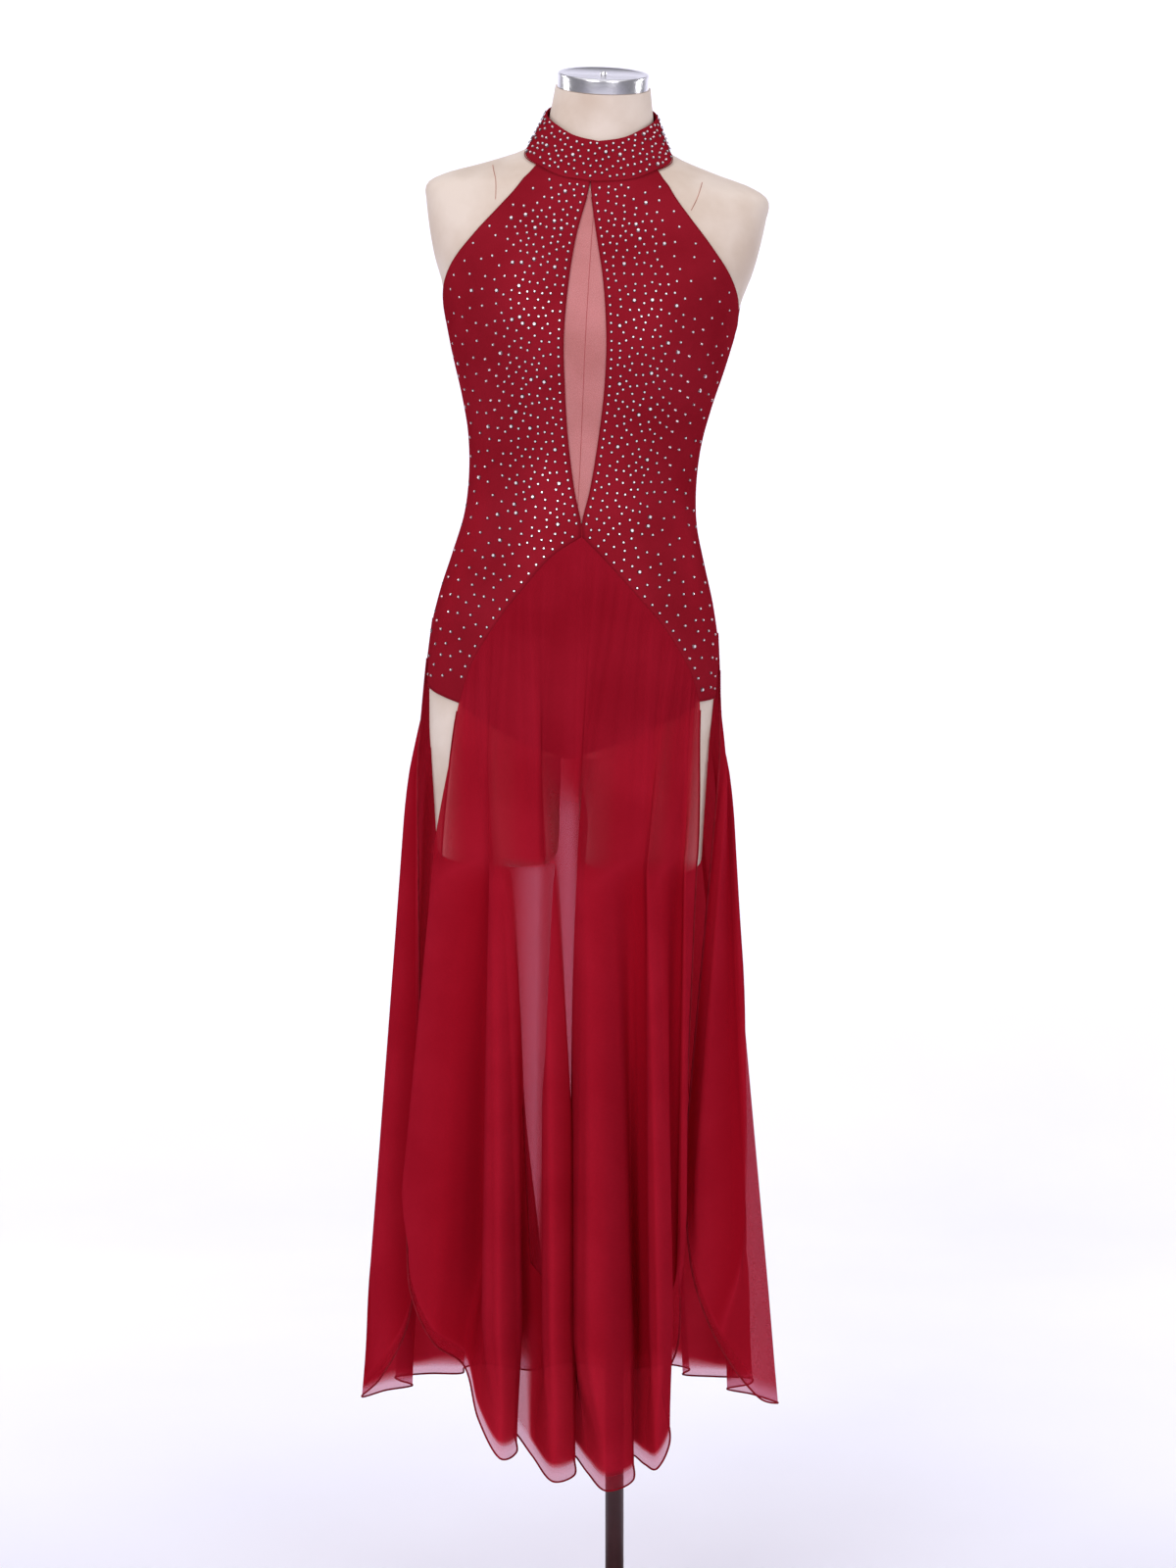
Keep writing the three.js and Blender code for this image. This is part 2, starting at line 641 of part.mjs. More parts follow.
// The strip between the thighs, from the front's lowest edge to the back's.
function gussetGeometry() {
  const low = section(CROTCH);
  const grid = gridOf(8, 2, (along, across) => leaned(
    lerp(-GUSSET.half, GUSSET.half, across),
    lerp(-low.front - AIR, low.back + AIR, along),
    CROTCH - SEAM,
  ));
  return wallOfGrid(grid, STRETCH);
}

// ---- skirt -----------------------------------------------------------------------
const hemCurve = (table, shift = 0) => new THREE.CatmullRomCurve3(
  table.map((row) => new THREE.Vector3(row.x + shift, row.y, row.z)), false, 'centripetal',
);

// Depth of the skin's foremost line below the seam at a place across the form.
function foremost(across) {
  const s = section(1111);
  const share = Math.min(Math.abs(across) / s.half, 0.995);
  return s.front * (1 - share ** s.square) ** (1 / s.square);
}

// Rows of a panel that first lies on the form and then hangs: `point` gets which of
// the two it is in and the share of it.
function hangingGrid(rows, columns, point) {
  const total = rows.onForm + rows.hanging;
  return gridOf(total, columns, (down, along) => {
    const row = down * total;
    return row < rows.onForm
      ? point('on', row / rows.onForm, along)
      : point('below', (row - rows.onForm) / rows.hanging, along);
  });
}

function skirtFront() {
  const hem = hemCurve(FRONT_HEM);
  const grid = hangingGrid(FRONT_ROWS, FRONT_COLUMNS, (part, t, along) => {
    const seam = skirtSeam(along);
    const x = lerp(FRONT_WAIST.left, FRONT_WAIST.right, along);
    const across = x - axisAt(FRONT_WAIST.z);
    const waist = new THREE.Vector3(x, -foremost(across) - FRONT_WAIST.ease, FRONT_WAIST.z);
    if (part === 'below') return waist.lerp(hem.getPoint(along), t);
    const w = lerp(seam.w - SLOPED_SEAM, FRONT_WAIST.z + across * Math.sin(LEAN), t);
    const place = lerp(seam.across, across, t);
    const on = raised(angleAt(place, w), w, OVER + FRONT_WAIST.lift * Math.sqrt(t));
    const clear = new THREE.Vector3(
      on.x, Math.min(on.y, -foremost(place) - FRONT_WAIST.ease), on.z,
    );
    return on.lerp(clear, smooth(t)).lerp(waist, smooth(t) ** 3);
  });
  return wallOfGrid(grid, CHIFFON);
}

function skirtBack() {
  const hem = hemCurve(BACK_HEM, SKIRT_CENTRE);
  const ringCentre = axisAt(BACK_RING.z);
  const grid = hangingGrid(BACK_ROWS, BACK_COLUMNS, (part, t, along) => {
    const top = radians(lerp(BACK_TOP.edge, 360 - BACK_TOP.edge, along));
    const wide = radians(lerp(BACK_RING.edge, 360 - BACK_RING.edge, along));
    const radius = (
      (Math.abs(Math.sin(wide)) / BACK_RING.half) ** BACK_RING.square
      + (Math.abs(Math.cos(wide)) / BACK_RING.back) ** BACK_RING.square
    ) ** (-1 / BACK_RING.square);
    const nearEnd = Math.min(along, 1 - along) / BACK_RING.curlShare;
    const reach = radius * (1 - BACK_RING.curl * (1 - smooth(nearEnd)));
    const ring = new THREE.Vector3(
      ringCentre + reach * Math.sin(wide), -reach * Math.cos(wide), BACK_RING.z,
    );
    if (part === 'below') return ring.lerp(hem.getPoint(along), t);
    const on = raised(top, lerp(BACK_TOP.w, BACK_RING.z, t), OVER + BACK_TOP.lift);
    return on.lerp(ring, Math.sin(t * Math.PI / 2) ** 0.8);
  });
  return wallOfGrid(grid, CHIFFON);
}

// ---- assembly --------------------------------------------------------------------
const dress = new THREE.Group();
function add(name, geometry, material) {
  const mesh = new THREE.Mesh(geometry, material);
  mesh.name = name;
  dress.add(mesh);
}

add('stand_base', baseGeometry(), DARK_STEEL);
add('stand_pole', poleGeometry(), DARK_STEEL);
add('form_body', formGeometry(), LINEN);
dress.add(capGroup());
add('collar', collarGeometry(), SATIN);
add('collar_button_upper', buttonGeometry(0.28), SATIN);
add('collar_button_lower', buttonGeometry(0.72), SATIN);
for (const side of ['left', 'right']) {
  add(`bodice_front_${side}`, bodiceFront(side), SATIN);
  add(`bodice_back_${side}`, bodiceBack(side), SATIN);
}
add('net_insert', netInsert(), NET_FABRIC);
add('brief_front', briefFront(), SATIN);
add('brief_gusset', gussetGeometry(), SATIN);
add('skirt_front', skirtFront(), SHEER);
add('skirt_back', skirtBack(), SHEER);

export default dress;
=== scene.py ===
"""A wine red lyrical dance dress on a limbless dress form with a round stand.

The leotard is stretch satin with a net insert and hot-fix crystals, and its two skirt
panels are chiffon with rolled hems. Sizes are millimetres until a mesh is made, and the
meshes are metres: +Z is up and the wearer's front faces -Y. The form is a stack of
sections about a leaning axis, and each cut piece is raised from those same sections.
"""
import math

import bmesh
import bpy
import numpy as np
from mathutils import Matrix, Vector


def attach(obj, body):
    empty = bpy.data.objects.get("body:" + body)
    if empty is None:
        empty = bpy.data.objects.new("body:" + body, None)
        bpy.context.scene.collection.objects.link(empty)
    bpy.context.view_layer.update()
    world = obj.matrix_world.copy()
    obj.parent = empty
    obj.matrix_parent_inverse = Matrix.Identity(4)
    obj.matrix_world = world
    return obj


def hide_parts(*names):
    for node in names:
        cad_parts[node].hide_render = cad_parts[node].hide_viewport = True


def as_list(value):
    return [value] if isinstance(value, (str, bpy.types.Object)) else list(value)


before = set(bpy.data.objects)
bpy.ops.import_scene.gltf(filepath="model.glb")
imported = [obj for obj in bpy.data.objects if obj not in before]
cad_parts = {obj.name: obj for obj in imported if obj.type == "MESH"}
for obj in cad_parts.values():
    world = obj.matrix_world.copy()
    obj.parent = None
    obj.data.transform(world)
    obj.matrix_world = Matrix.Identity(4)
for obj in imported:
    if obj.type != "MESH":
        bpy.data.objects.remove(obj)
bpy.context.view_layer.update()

MM = 0.001
TAU = 2 * math.pi

# ---- sizes -------------------------------------------------------------------------
LEAN = math.radians(3)
AXIS_FOOT = {"x": -51, "w": 1045}      # the form's leaning axis starts here
NECK_TOP = 1766
NECK_TILT = math.radians(18)
CROTCH = 1024
UNDERARM = 1498
LEG_SIDE = 1098                        # the leg opening at the side seam

AIR = 1.4                              # between the form and the cloth on it
SEAM = 0.3                             # between two pieces at a seam
SATIN_WALL = 1.0
COLLAR_WALL = 1.6
COLLAR_EASE = 3
SLOPED_SEAM = 1.1
OVER = AIR + 1.2 + SEAM                # what lies on the leotard starts here
HIP = 1111                             # where the form is widest below the waist
NECKLINE = 1654                        # the bodice's top edge at the centre front
CROWD = 0.8                            # columns of the bodice crowd to its sides


def table(columns, rows):
    """Columns by name, sorted by the first one."""
    rows = np.array(sorted(rows), float)
    return {name: rows[:, i] for i, name in enumerate(columns.split())}


SECTIONS = table("w half front back square tilt", [
    (890, 148, 94, 102, 2.5, 0), (960, 152, 98, 109, 2.5, 0),
    (CROTCH, 156, 101, 117, 2.4, 0), (1111, 160, 104, 124, 2.3, 0),
    (1155, 159, 104, 122, 2.2, 0), (1199, 151, 103, 112, 2.2, 0),
    (1243, 139, 100, 98, 2.2, 0), (1287, 128, 96, 86, 2.2, 0),
    (1331, 125, 94, 80, 2.2, 0), (1375, 128, 99, 82, 2.2, 0),
    (1419, 137, 111, 90, 2.2, 0), (1463, 149, 124, 98, 2.3, 0),
    (1500, 158, 126, 104, 2.4, 0), (1540, 167, 118, 108, 2.7, 0),
    (1570, 177, 108, 108, 2.9, 0), (1600, 184, 95, 105, 3.2, 0),
    (1630, 189, 80, 98, 3.4, 0), (1650, 190, 70, 90, 3.0, 0),
    (1665, 170, 64, 82, 2.4, 4), (1680, 126, 58, 74, 2.1, 8),
    (1696, 84, 54, 66, 2.0, 12), (1715, 62, 51, 60, 2.0, 16),
    (1740, 57, 52, 54, 2.0, 18), (NECK_TOP, 53, 55, 47, 2.0, 18),
])
THIGH = table("w inner outer front back", [
    (898, 40, 120, 68, 74), (902, 22, 138, 84, 92), (914, 14, 149, 96, 104),
    (960, 12, 156, 101, 113), (CROTCH, 11, 160, 104, 120), (1060, 20, 160, 104, 120),
])
THIGH_SQUARE = 3
COLLAR = table("angle low high", [
    (0, 1654, 1715), (30, 1661, 1720), (55, 1681, 1729),
    (90, 1703, 1737), (135, 1711, 1742), (180, 1713, 1744),
])
CENTRE_EDGE = table("w left right", [
    (1654, -5.8, -5.8), (1644, -6.6, -5.0), (1591, -16.8, 5.5), (1539, -21.8, 16.2),
    (1477, -23.6, 22.9), (1428, -20.5, 23.0), (1374, -15.1, 19.0), (1316, -5.2, 12.4),
    (1280, 4.2, 5.6), (1264, 6.2, 6.2),
])
SKIRT_SEAM = table("w left right", [
    (1264, 6.2, 6.2), (1242, -24, 30), (1205, -54, 67), (1170, -79, 100),
    (1128, -103, 128), (1103, -112, 138), (1091, -115, 142), (1075, -119, 146),
])
SEAM_POINT = 1264
SKIRT_SEAM_END = {"left": 1077, "right": 1092}
ABOVE_POINT = 0.6                      # the share of the bodice's rows above that point
ARMHOLE_TOP = {"reach": 64, "w": 1680}
ARMHOLE_FRONT = table("w reach", [
    (1680, 64), (1644, 84), (1620, 102), (1588, 128), (1560, 149), (1538, 159),
    (1515, 160.5), (1498, 157.4),
])
ARMHOLE_BACK_TOP = {"angle": 142, "w": 1706}
ARMHOLE_BACK = table("w angle", [
    (1498, 90), (1520, 97), (1560, 108), (1610, 121), (1650, 133), (1706, 142),
])
LEG_OPENING = table("reach w", [
    (9.5, 1026), (27, 1031), (64, 1045), (97, 1062), (120, 1075), (143, 1089),
    (160, LEG_SIDE),
])
KEYHOLE = {"top": 1712, "bottom": 1530, "half": 9}
GUSSET_HALF = 9.2
SHOULDER_BRIDGE = 1.8
PLATE_BRIDGE = 1.2

FRONT_HEM = [
    (-229, -72, 500), (-222, -98, 432), (-196, -112, 380), (-164, -92, 350),
    (-147, -112, 296), (-120, -152, 262), (-104, -120, 262), (-108, -92, 276),
    (-88, -112, 256), (-62, -162, 240), (-40, -132, 240), (-42, -96, 252),
    (-26, -124, 240), (-4, -168, 232), (24, -138, 236), (23, -102, 254),
    (36, -122, 250), (50, -150, 252), (64, -122, 276), (56, -94, 330),
    (72, -84, 372), (74, -66, 470),
]
FRONT_WAIST = {"z": 905, "left": -190, "right": 92, "ease": 6, "lift": 3}
SKIRT_CENTRE = -50
BACK_HEM = [
    (128, -30, 560), (140, -52, 440), (172, -50, 360), (214, -36, 303), (235, -6, 291),
    (206, 26, 293), (178, 50, 293), (204, 88, 290), (206, 122, 289), (166, 120, 291),
    (128, 128, 291), (134, 172, 288), (108, 198, 287), (74, 168, 290), (48, 150, 290),
    (26, 190, 287), (-4, 212, 286), (-32, 180, 289), (-52, 150, 290), (-84, 176, 288),
    (-112, 196, 287), (-132, 166, 289), (-134, 126, 291), (-172, 124, 291),
    (-208, 112, 290), (-202, 80, 293), (-184, 46, 295), (-212, 22, 295),
    (-236, -10, 295), (-212, -44, 324), (-182, -52, 382), (-166, -34, 490),
]
BACK_TOP = {"w": 1168, "edge": 91, "lift": 1.0}
BACK_RING = {"z": 1020, "half": 177, "back": 146, "square": 2.2, "edge": 82,
             "curl": 0.035, "curl_share": 0.09}

# ---- the form's surface ------------------------------------------------------------


def sample(rows, column, at):
    """A column's value at a place between rows, on a smooth cubic through the rows."""
    x, y = next(iter(rows.values())), rows[column]
    at = np.clip(at, x[0], x[-1])
    k = np.clip(np.searchsorted(x, at) - 1, 0, len(x) - 2)
    before, after = np.r_[0, :len(x) - 1], np.r_[1:len(x), len(x) - 1]
    slope = (y[after] - y[before]) / (x[after] - x[before])
    span = x[k + 1] - x[k]
    t = (at - x[k]) / span
    return ((2 * t**3 - 3 * t**2 + 1) * y[k] + (t**3 - 2 * t**2 + t) * span * slope[k]
            + (3 * t**2 - 2 * t**3) * y[k + 1] + (t**3 - t**2) * span * slope[k + 1])


def lerp(a, b, t):
    return a + (b - a) * t


def smooth(t):
    t = np.clip(t, 0, 1)
    return t * t * (3 - 2 * t)


def unit(v):
    return v / np.maximum(np.linalg.norm(v, axis=-1, keepdims=True), 1e-9)


def points(x, y, z):
    return np.stack(np.broadcast_arrays(x, y, z), axis=-1).astype(float)


def axis_at(w):
    return AXIS_FOOT["x"] + np.maximum(0, w - AXIS_FOOT["w"]) * math.sin(LEAN)


def leaned(across, depth, w):
    """A point of the form's own frame, across, in depth and along the axis, in space."""
    rise = (w - AXIS_FOOT["w"]) * math.cos(LEAN)
    return points(axis_at(w) + across * math.cos(LEAN), depth,
                  AXIS_FOOT["w"] - across * math.sin(LEAN) + rise)


def skin_radius(angle, w):
    """The form's radius at an angle from centre front, positive towards +X."""
    deep = np.where(np.cos(angle) > 0, sample(SECTIONS, "front", w),
                    sample(SECTIONS, "back", w))
    square = sample(SECTIONS, "square", w)
    return ((np.abs(np.sin(angle)) / sample(SECTIONS, "half", w)) ** square
            + (np.abs(np.cos(angle)) / deep) ** square) ** (-1 / square)


def skin(angle, w):
    radius = skin_radius(angle, w)
    depth = -radius * np.cos(angle)
    middle = (sample(SECTIONS, "back", w) - sample(SECTIONS, "front", w)) / 2
    tilt = np.radians(np.maximum(0, sample(SECTIONS, "tilt", w)))
    return leaned(radius * np.sin(angle), depth, w + (depth - middle) * np.tan(tilt))


def skin_normal(angle, w):
    step = 0.01
    along = skin(angle + step, w) - skin(angle - step, w)
    up = skin(angle, np.minimum(w + 2, NECK_TOP)) - skin(angle, w - 2)
    return unit(np.cross(along, up))


def raised(angle, w, out):
    """The skin, moved out along its normal."""
    return skin(angle, w) + skin_normal(angle, w) * np.asarray(out)[..., None]


def angle_at(across, w):
    """The angle at which the skin lies a distance across, in front of the axis."""
    half, square = sample(SECTIONS, "half", w), sample(SECTIONS, "square", w)
    share = np.minimum(np.abs(across) / half, 1)
    depth = sample(SECTIONS, "front", w) * (1 - share**square) ** (1 / square)
    return np.sign(across) * np.arctan2(share * half, depth)


def foremost(across):
    """How far the skin comes forward below the skirt's seam."""
    square = sample(SECTIONS, "square", HIP)
    share = np.minimum(np.abs(across) / sample(SECTIONS, "half", HIP), 0.995)
    return sample(SECTIONS, "front", HIP) * (1 - share**square) ** (1 / square)


# ---- making meshes -----------------------------------------------------------------
def laid(place, rows, columns, cut=(1, 1), turned=False):
    """A grid whose points `place` lays down by how far down and across each one is."""
    bm = bmesh.new()
    bmesh.ops.create_grid(bm, x_segments=columns, y_segments=rows, size=1)
    flat = np.array([v.co[:] for v in bm.verts])
    across, down = (1 + flat[:, 0]) / 2, (1 - flat[:, 1]) / 2
    grain = bm.loops.layers.uv.new("cut")
    for face in bm.faces:
        for loop in face.loops:
            i = loop.vert.index
            loop[grain].uv = (across[i] * cut[0], down[i] * cut[1])
    for vert, co in zip(bm.verts, place(down, across) * MM):
        vert.co = co
    if turned:
        bmesh.ops.reverse_faces(bm, faces=bm.faces)
    return bm


def rounded(place, rows, columns, cut=(1, 1)):
    """A grid that closes on itself across, with both its ends filled."""
    bm = laid(place, rows, columns, cut)
    bmesh.ops.remove_doubles(bm, verts=bm.verts, dist=1e-5)
    rim = [edge for edge in bm.edges if edge.is_boundary]
    bmesh.ops.holes_fill(bm, edges=rim, sides=0)
    bmesh.ops.recalc_face_normals(bm, faces=bm.faces)
    return bm


def tube(path, radius, around=8, flat=1.0, lie=(0, 0, 1)):
    """A closed tube along a path, which may be flattened across the direction `lie`."""
    path = np.asarray(path, float)
    tangent = unit(np.gradient(path, axis=0))
    side = unit(np.cross(tangent, np.broadcast_to(lie, path.shape)))
    up = np.cross(side, tangent)
    last = len(path) - 1

    def place(down, across):
        k = np.rint(across * last).astype(int)
        turn = down * TAU
        return (path[k] + radius * (side[k] * np.cos(turn)[:, None]
                                    + flat * up[k] * np.sin(turn)[:, None]))

    return rounded(place, around, last)


def lathe(profile, steps=96, seat=None):
    """A turned shape from (radius, height) pairs, from the axis round to the axis."""
    bm = bmesh.new()
    verts = [bm.verts.new((r * MM, 0, z * MM)) for r, z in profile]
    edges = [bm.edges.new(pair) for pair in zip(verts, verts[1:])]
    bmesh.ops.spin(bm, geom=verts + edges, cent=(0, 0, 0), axis=(0, 0, 1),
                   angle=TAU, steps=steps, use_merge=True)
    bmesh.ops.remove_doubles(bm, verts=bm.verts, dist=1e-6)
    bmesh.ops.recalc_face_normals(bm, faces=bm.faces)
    if seat:
        bmesh.ops.transform(bm, matrix=seat, verts=bm.verts)
    return bm


def seated(spot, facing):
    """The matrix that stands something on a spot in millimetres, facing outwards."""
    turn = Vector((0, 0, 1)).rotation_difference(Vector(facing)).to_matrix().to_4x4()
    return Matrix.Translation(Vector(spot * MM)) @ turn


def added(name, data):
    made = bpy.data.objects.new(name, data)
    bpy.context.scene.collection.objects.link(made)
    return made


def surfaced(name, bm, material):
    """A mesh as a smooth object of one material."""
    mesh = bpy.data.meshes.new(name)
    bm.to_mesh(mesh)
    bm.free()
    mesh.materials.append(material)
    mesh.shade_smooth()
    return added(name, mesh)


def piece(name, bm, material, replaces=(), wall=0.0, crease=50):
    """Finishes a mesh as an object that rides with the form."""
    made = surfaced(name, bm, material)
    if crease:
        made.data.set_sharp_from_angle(angle=math.radians(crease))
    if wall:
        thick = made.modifiers.new("wall", "SOLIDIFY")
        thick.thickness, thick.offset = wall * MM, 1.0
    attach(made, "root")
    if replaces:
        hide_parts(*replaces)
    return made


# ---- materials ---------------------------------------------------------------------
def linear(hex_colour):
    """An sRGB hex colour as linear RGBA."""
    parts = [int(hex_colour[i:i + 2], 16) / 255 for i in (1, 3, 5)]
    return [c / 12.92 if c <= 0.04045 else ((c + 0.055) / 1.055) ** 2.4
            for c in parts] + [1]


def node(tree, kind, inputs=None, **settings):
    """Adds a node: each input gets a value, or the socket that feeds it."""
    made = tree.nodes.new(kind)
    for key, value in settings.items():
        setattr(made, key, value)
    for key, value in (inputs or {}).items():
        if isinstance(value, bpy.types.NodeSocket):
            tree.links.new(value, made.inputs[key])
        else:
            made.inputs[key].default_value = value
    return made


def material(name):
    """A new material, its empty tree, and the socket that says where on the object."""
    made = bpy.data.materials.new(name)
    made.use_nodes = True
    tree = made.node_tree
    tree.nodes.clear()
    return made, tree, node(tree, "ShaderNodeTexCoord").outputs["Object"]


def finish(made, shader):
    node(made.node_tree, "ShaderNodeOutputMaterial", {"Surface": shader.outputs[0]})
    return made


def noise(tree, place, size, detail=2.0):
    """Noise in patches of a size in millimetres."""
    return node(tree, "ShaderNodeTexNoise", {"Vector": place, "Scale": 1000 / size,
                "Detail": detail}).outputs["Fac"]


def blotches(tree, place, size, low, high, detail=3.0):
    """A soft mix of two colours in patches of a size in millimetres."""
    ramp = node(tree, "ShaderNodeValToRGB", {"Fac": noise(tree, place, size, detail)})
    for stop, at, colour in zip(ramp.color_ramp.elements, (0.35, 0.65), (low, high)):
        stop.position, stop.color = at, linear(colour)
    return ramp.outputs["Color"]


def ranged(tree, value, start, end, low=0.0, high=1.0):
    return node(tree, "ShaderNodeMapRange", {
        "Value": value, "From Min": start, "From Max": end, "To Min": low,
        "To Max": high}).outputs["Result"]


def mixed(tree, share, low, high):
    return node(tree, "ShaderNodeMix", {0: share, 6: low, 7: high},
                data_type="RGBA").outputs[2]


def relief(tree, height, strength, distance, **under):
    """A bump's normal, from a height; `under` may hold the normal it lies on."""
    return node(tree, "ShaderNodeBump", {"Strength": strength, "Distance": distance,
                "Height": height, **under}).outputs["Normal"]


def surface(tree, colour, rough, gloss=0.5, **more):
    return node(tree, "ShaderNodeBsdfPrincipled", {
        "Base Color": colour, "Roughness": rough, "Specular IOR Level": gloss, **more})


def stretch_satin():
    # Knitted nylon and elastane with a satin face: a deep colour whose filaments give a
    # broad, soft gloss. The rib is drawn at 1.6 mm, far coarser than the real knit.
    made, tree, place = material("stretch satin knit")
    colour = blotches(tree, place, 60, "#881624", "#901a29")
    rib = node(tree, "ShaderNodeTexWave", {"Vector": place, "Scale": 1000 / 1.6 / TAU,
               "Distortion": 0.4, "Detail": 1.0}, bands_direction="X")
    fine = relief(tree, rib.outputs["Fac"], 0.05, 0.0002)
    pulled = relief(tree, noise(tree, place, 45), 0.12, 0.003, Normal=fine)
    tint = {"Specular Tint": linear("#8a2430")}
    return finish(made, surface(tree, colour, 0.5, 0.0, Metallic=0.15, Normal=pulled,
                                **tint))


def thread(name, low, high):
    # Spun polyester thread and the folded edge it holds: darker than the cloth beside it.
    made, tree, place = material(name)
    twist = relief(tree, noise(tree, place, 2.5), 0.3, 0.0003)
    colour = blotches(tree, place, 12, low, high)
    return finish(made, surface(tree, colour, 0.6, 0.05, Normal=twist))


PACKED_FROM = 0.6      # the cloth is as dense as can be from this much gathering on
GLOW_SHARE = 0.3       # light that shines through the yarns, against what they reflect


def sheer(name, colours, passes, cover, swing, weave, patch, packed_and_shade=None):
    """Sheer cloth: yarns cover a share of it, give or take a swing, and what passes
    is tinted.

    One argument holds the share, the yarns' colour and the tint of packed cloth. The mesh
    then says where it is gathered: more layers lie together there, they let less
    through, and their colour is deeper. That deeper colour is partly painted shade,
    as the mesh marks the recesses between folds as most packed."""
    made, tree, place = material(name)
    cut = node(tree, "ShaderNodeUVMap", uv_map="cut").outputs["UV"]
    colour, tint = blotches(tree, place, patch, *colours), linear(passes)
    yarns = noise(tree, cut, weave)
    dense = ranged(tree, yarns, 0.3, 0.7, cover - swing, cover + swing)
    if packed_and_shade:
        share, deepest_and_shade, tinted = packed_and_shade
        gathers_and_shade = node(tree, "ShaderNodeAttribute",
                       attribute_name="gathers_and_shade").outputs["Fac"]
        # Colour deepens where the cloth is most packed: partly more layers, partly painted
        # shade in the recesses between folds.
        colour = mixed(tree, ranged(tree, gathers_and_shade, PACKED_FROM, 1.0), colour,
                       linear(deepest_and_shade))
        tint = mixed(tree, ranged(tree, gathers_and_shade, 0.0, PACKED_FROM), tint, linear(tinted))
        layers = ranged(tree, gathers_and_shade, 0.0, PACKED_FROM, high=share - cover)
        dense = node(tree, "ShaderNodeMath", {0: dense, 1: layers}, operation="ADD",
                     use_clamp=True).outputs["Value"]
    clear = node(tree, "ShaderNodeBsdfTransparent", {"Color": tint})
    glow = node(tree, "ShaderNodeBsdfTranslucent", {"Color": colour})
    shader = surface(tree, colour, 0.8, 0.0, Normal=relief(tree, yarns, 0.15, 0.0004))
    cloth = node(tree, "ShaderNodeMixShader", {0: GLOW_SHARE, 1: shader.outputs[0],
                 2: glow.outputs[0]})
    return finish(made, node(tree, "ShaderNodeMixShader", {
        0: dense, 1: clear.outputs[0], 2: cloth.outputs[0]}))


def form_cover():
    # Tight jersey over a moulded shell: matt beige, with faint marks of handling.
    made, tree, place = material("beige form jersey")
    weave = relief(tree, noise(tree, place, 2), 0.12, 0.0003)
    colour = blotches(tree, place, 70, "#d5c0b1", "#e6d5ca", 6.0)
    sheen = {"Sheen Weight": 0.1}
    return finish(made, surface(tree, colour, 0.7, 0.3, Normal=weave, **sheen))


def chrome():
    # Polished chrome plate on a pressed cap, with hairlines from wiping.
    made, tree, place = material("chrome plate")
    wiped = node(tree, "ShaderNodeMapping", {"Vector": place, "Scale": (40, 600, 600)})
    rough = ranged(tree, noise(tree, wiped.outputs[0], 1000), 0.0, 1.0, 0.16, 0.3)
    return finish(made, surface(tree, linear("#f4f2f7"), rough, Metallic=1.0))


def powder_coat():
    # Dark brown powder coat baked on steel: a fine orange peel and a dull gloss.
    made, tree, place = material("brown powder-coated steel")
    peel = relief(tree, noise(tree, place, 1.8), 0.2, 0.0002)
    colour = blotches(tree, place, 40, "#3b2023", "#45272a")
    return finish(made, surface(tree, colour, 0.42, Normal=peel))


def crystal(name, low, high, metallic, rough):
    # Cut glass with a silver foil behind it, as two copies: the flat table is near white,
    # the foil's silver with a painted glint, and the slanted facets round it mirror the
    # cloth through a dark wine base, a painted reflection and painted shade.
    made, tree, place = material(name)
    coat = {"Coat Weight": 0.3, "Coat Roughness": 0.05}
    colour = blotches(tree, place, 6, low, high)
    return finish(made, surface(tree, colour, rough, Metallic=metallic, **coat))


def backdrop_paper():
    # Seamless background paper, nearly white.
    made, tree, place = material("white background paper")
    colour = blotches(tree, place, 900, "#eae9f5", "#eeedf8")
    return finish(made, surface(tree, colour, 0.9, 0.1))


SATIN = stretch_satin()
EDGE_SATIN = thread("folded satin edge", "#780c18", "#88111f")
CHIFFON_HEM = thread("rolled chiffon hem", "#7a0a18", "#8c1122")
COVER_SEAM = thread("form cover seam", "#b87a6c", "#c78f80")
NET = sheer("stretch net", ("#c45d71", "#d06a7d"), "#fbe3e5", cover=0.33, swing=0.05,
            weave=1.6, patch=30)
# The chiffon's deepest colour, #a20f22, is partly painted shade, laid in the recesses
# between folds.
CHIFFON = sheer("wine chiffon", ("#ae182d", "#b81d33"), "#f4cedc", cover=0.4, swing=0.03,
                weave=2.4, patch=80, packed_and_shade=(0.93, "#a20f22", "#dc2c3c"))
FORM_COVER = form_cover()
CHROME = chrome()
POWDER_COAT = powder_coat()
# Lit and shaded copies of the same stone: a near-white table as painted glint, and dark
# wine facets as painted reflection of the cloth and painted shade.
CRYSTAL_TABLE_PAINTED_GLINT = crystal("crystal table painted glint", "#e4e0e6", "#f6f4f8", 0.15, 0.25)
CRYSTAL_FACET_PAINTED_REFLECTION = crystal("crystal facets painted reflection", "#7d5a62", "#9a7a80", 0.9, 0.2)

# ---- camera ------------------------------------------------------------------------
CAMERA = {"yaw": math.radians(2), "down": math.radians(2.62), "distance": 3600,
          "aside": -30, "height": 1155, "focal_px": 3272, "frame_px": 1600}


def place_camera():
    lens = bpy.data.cameras.new("camera")
    lens.sensor_fit = "AUTO"
    lens.sensor_width = 36
    lens.lens = lens.sensor_width * CAMERA["focal_px"] / CAMERA["frame_px"]
    camera = added("camera", lens)
    yaw = CAMERA["yaw"]
    right = Vector((math.cos(yaw), math.sin(yaw), 0))
    ahead = Vector((-math.sin(yaw), math.cos(yaw), 0))
    eye = right * CAMERA["aside"] - ahead * CAMERA["distance"]
    camera.location = (eye + Vector((0, 0, CAMERA["height"]))) * MM
    camera.rotation_euler = (math.pi / 2 - CAMERA["down"], 0, yaw)
    bpy.context.scene.camera = camera


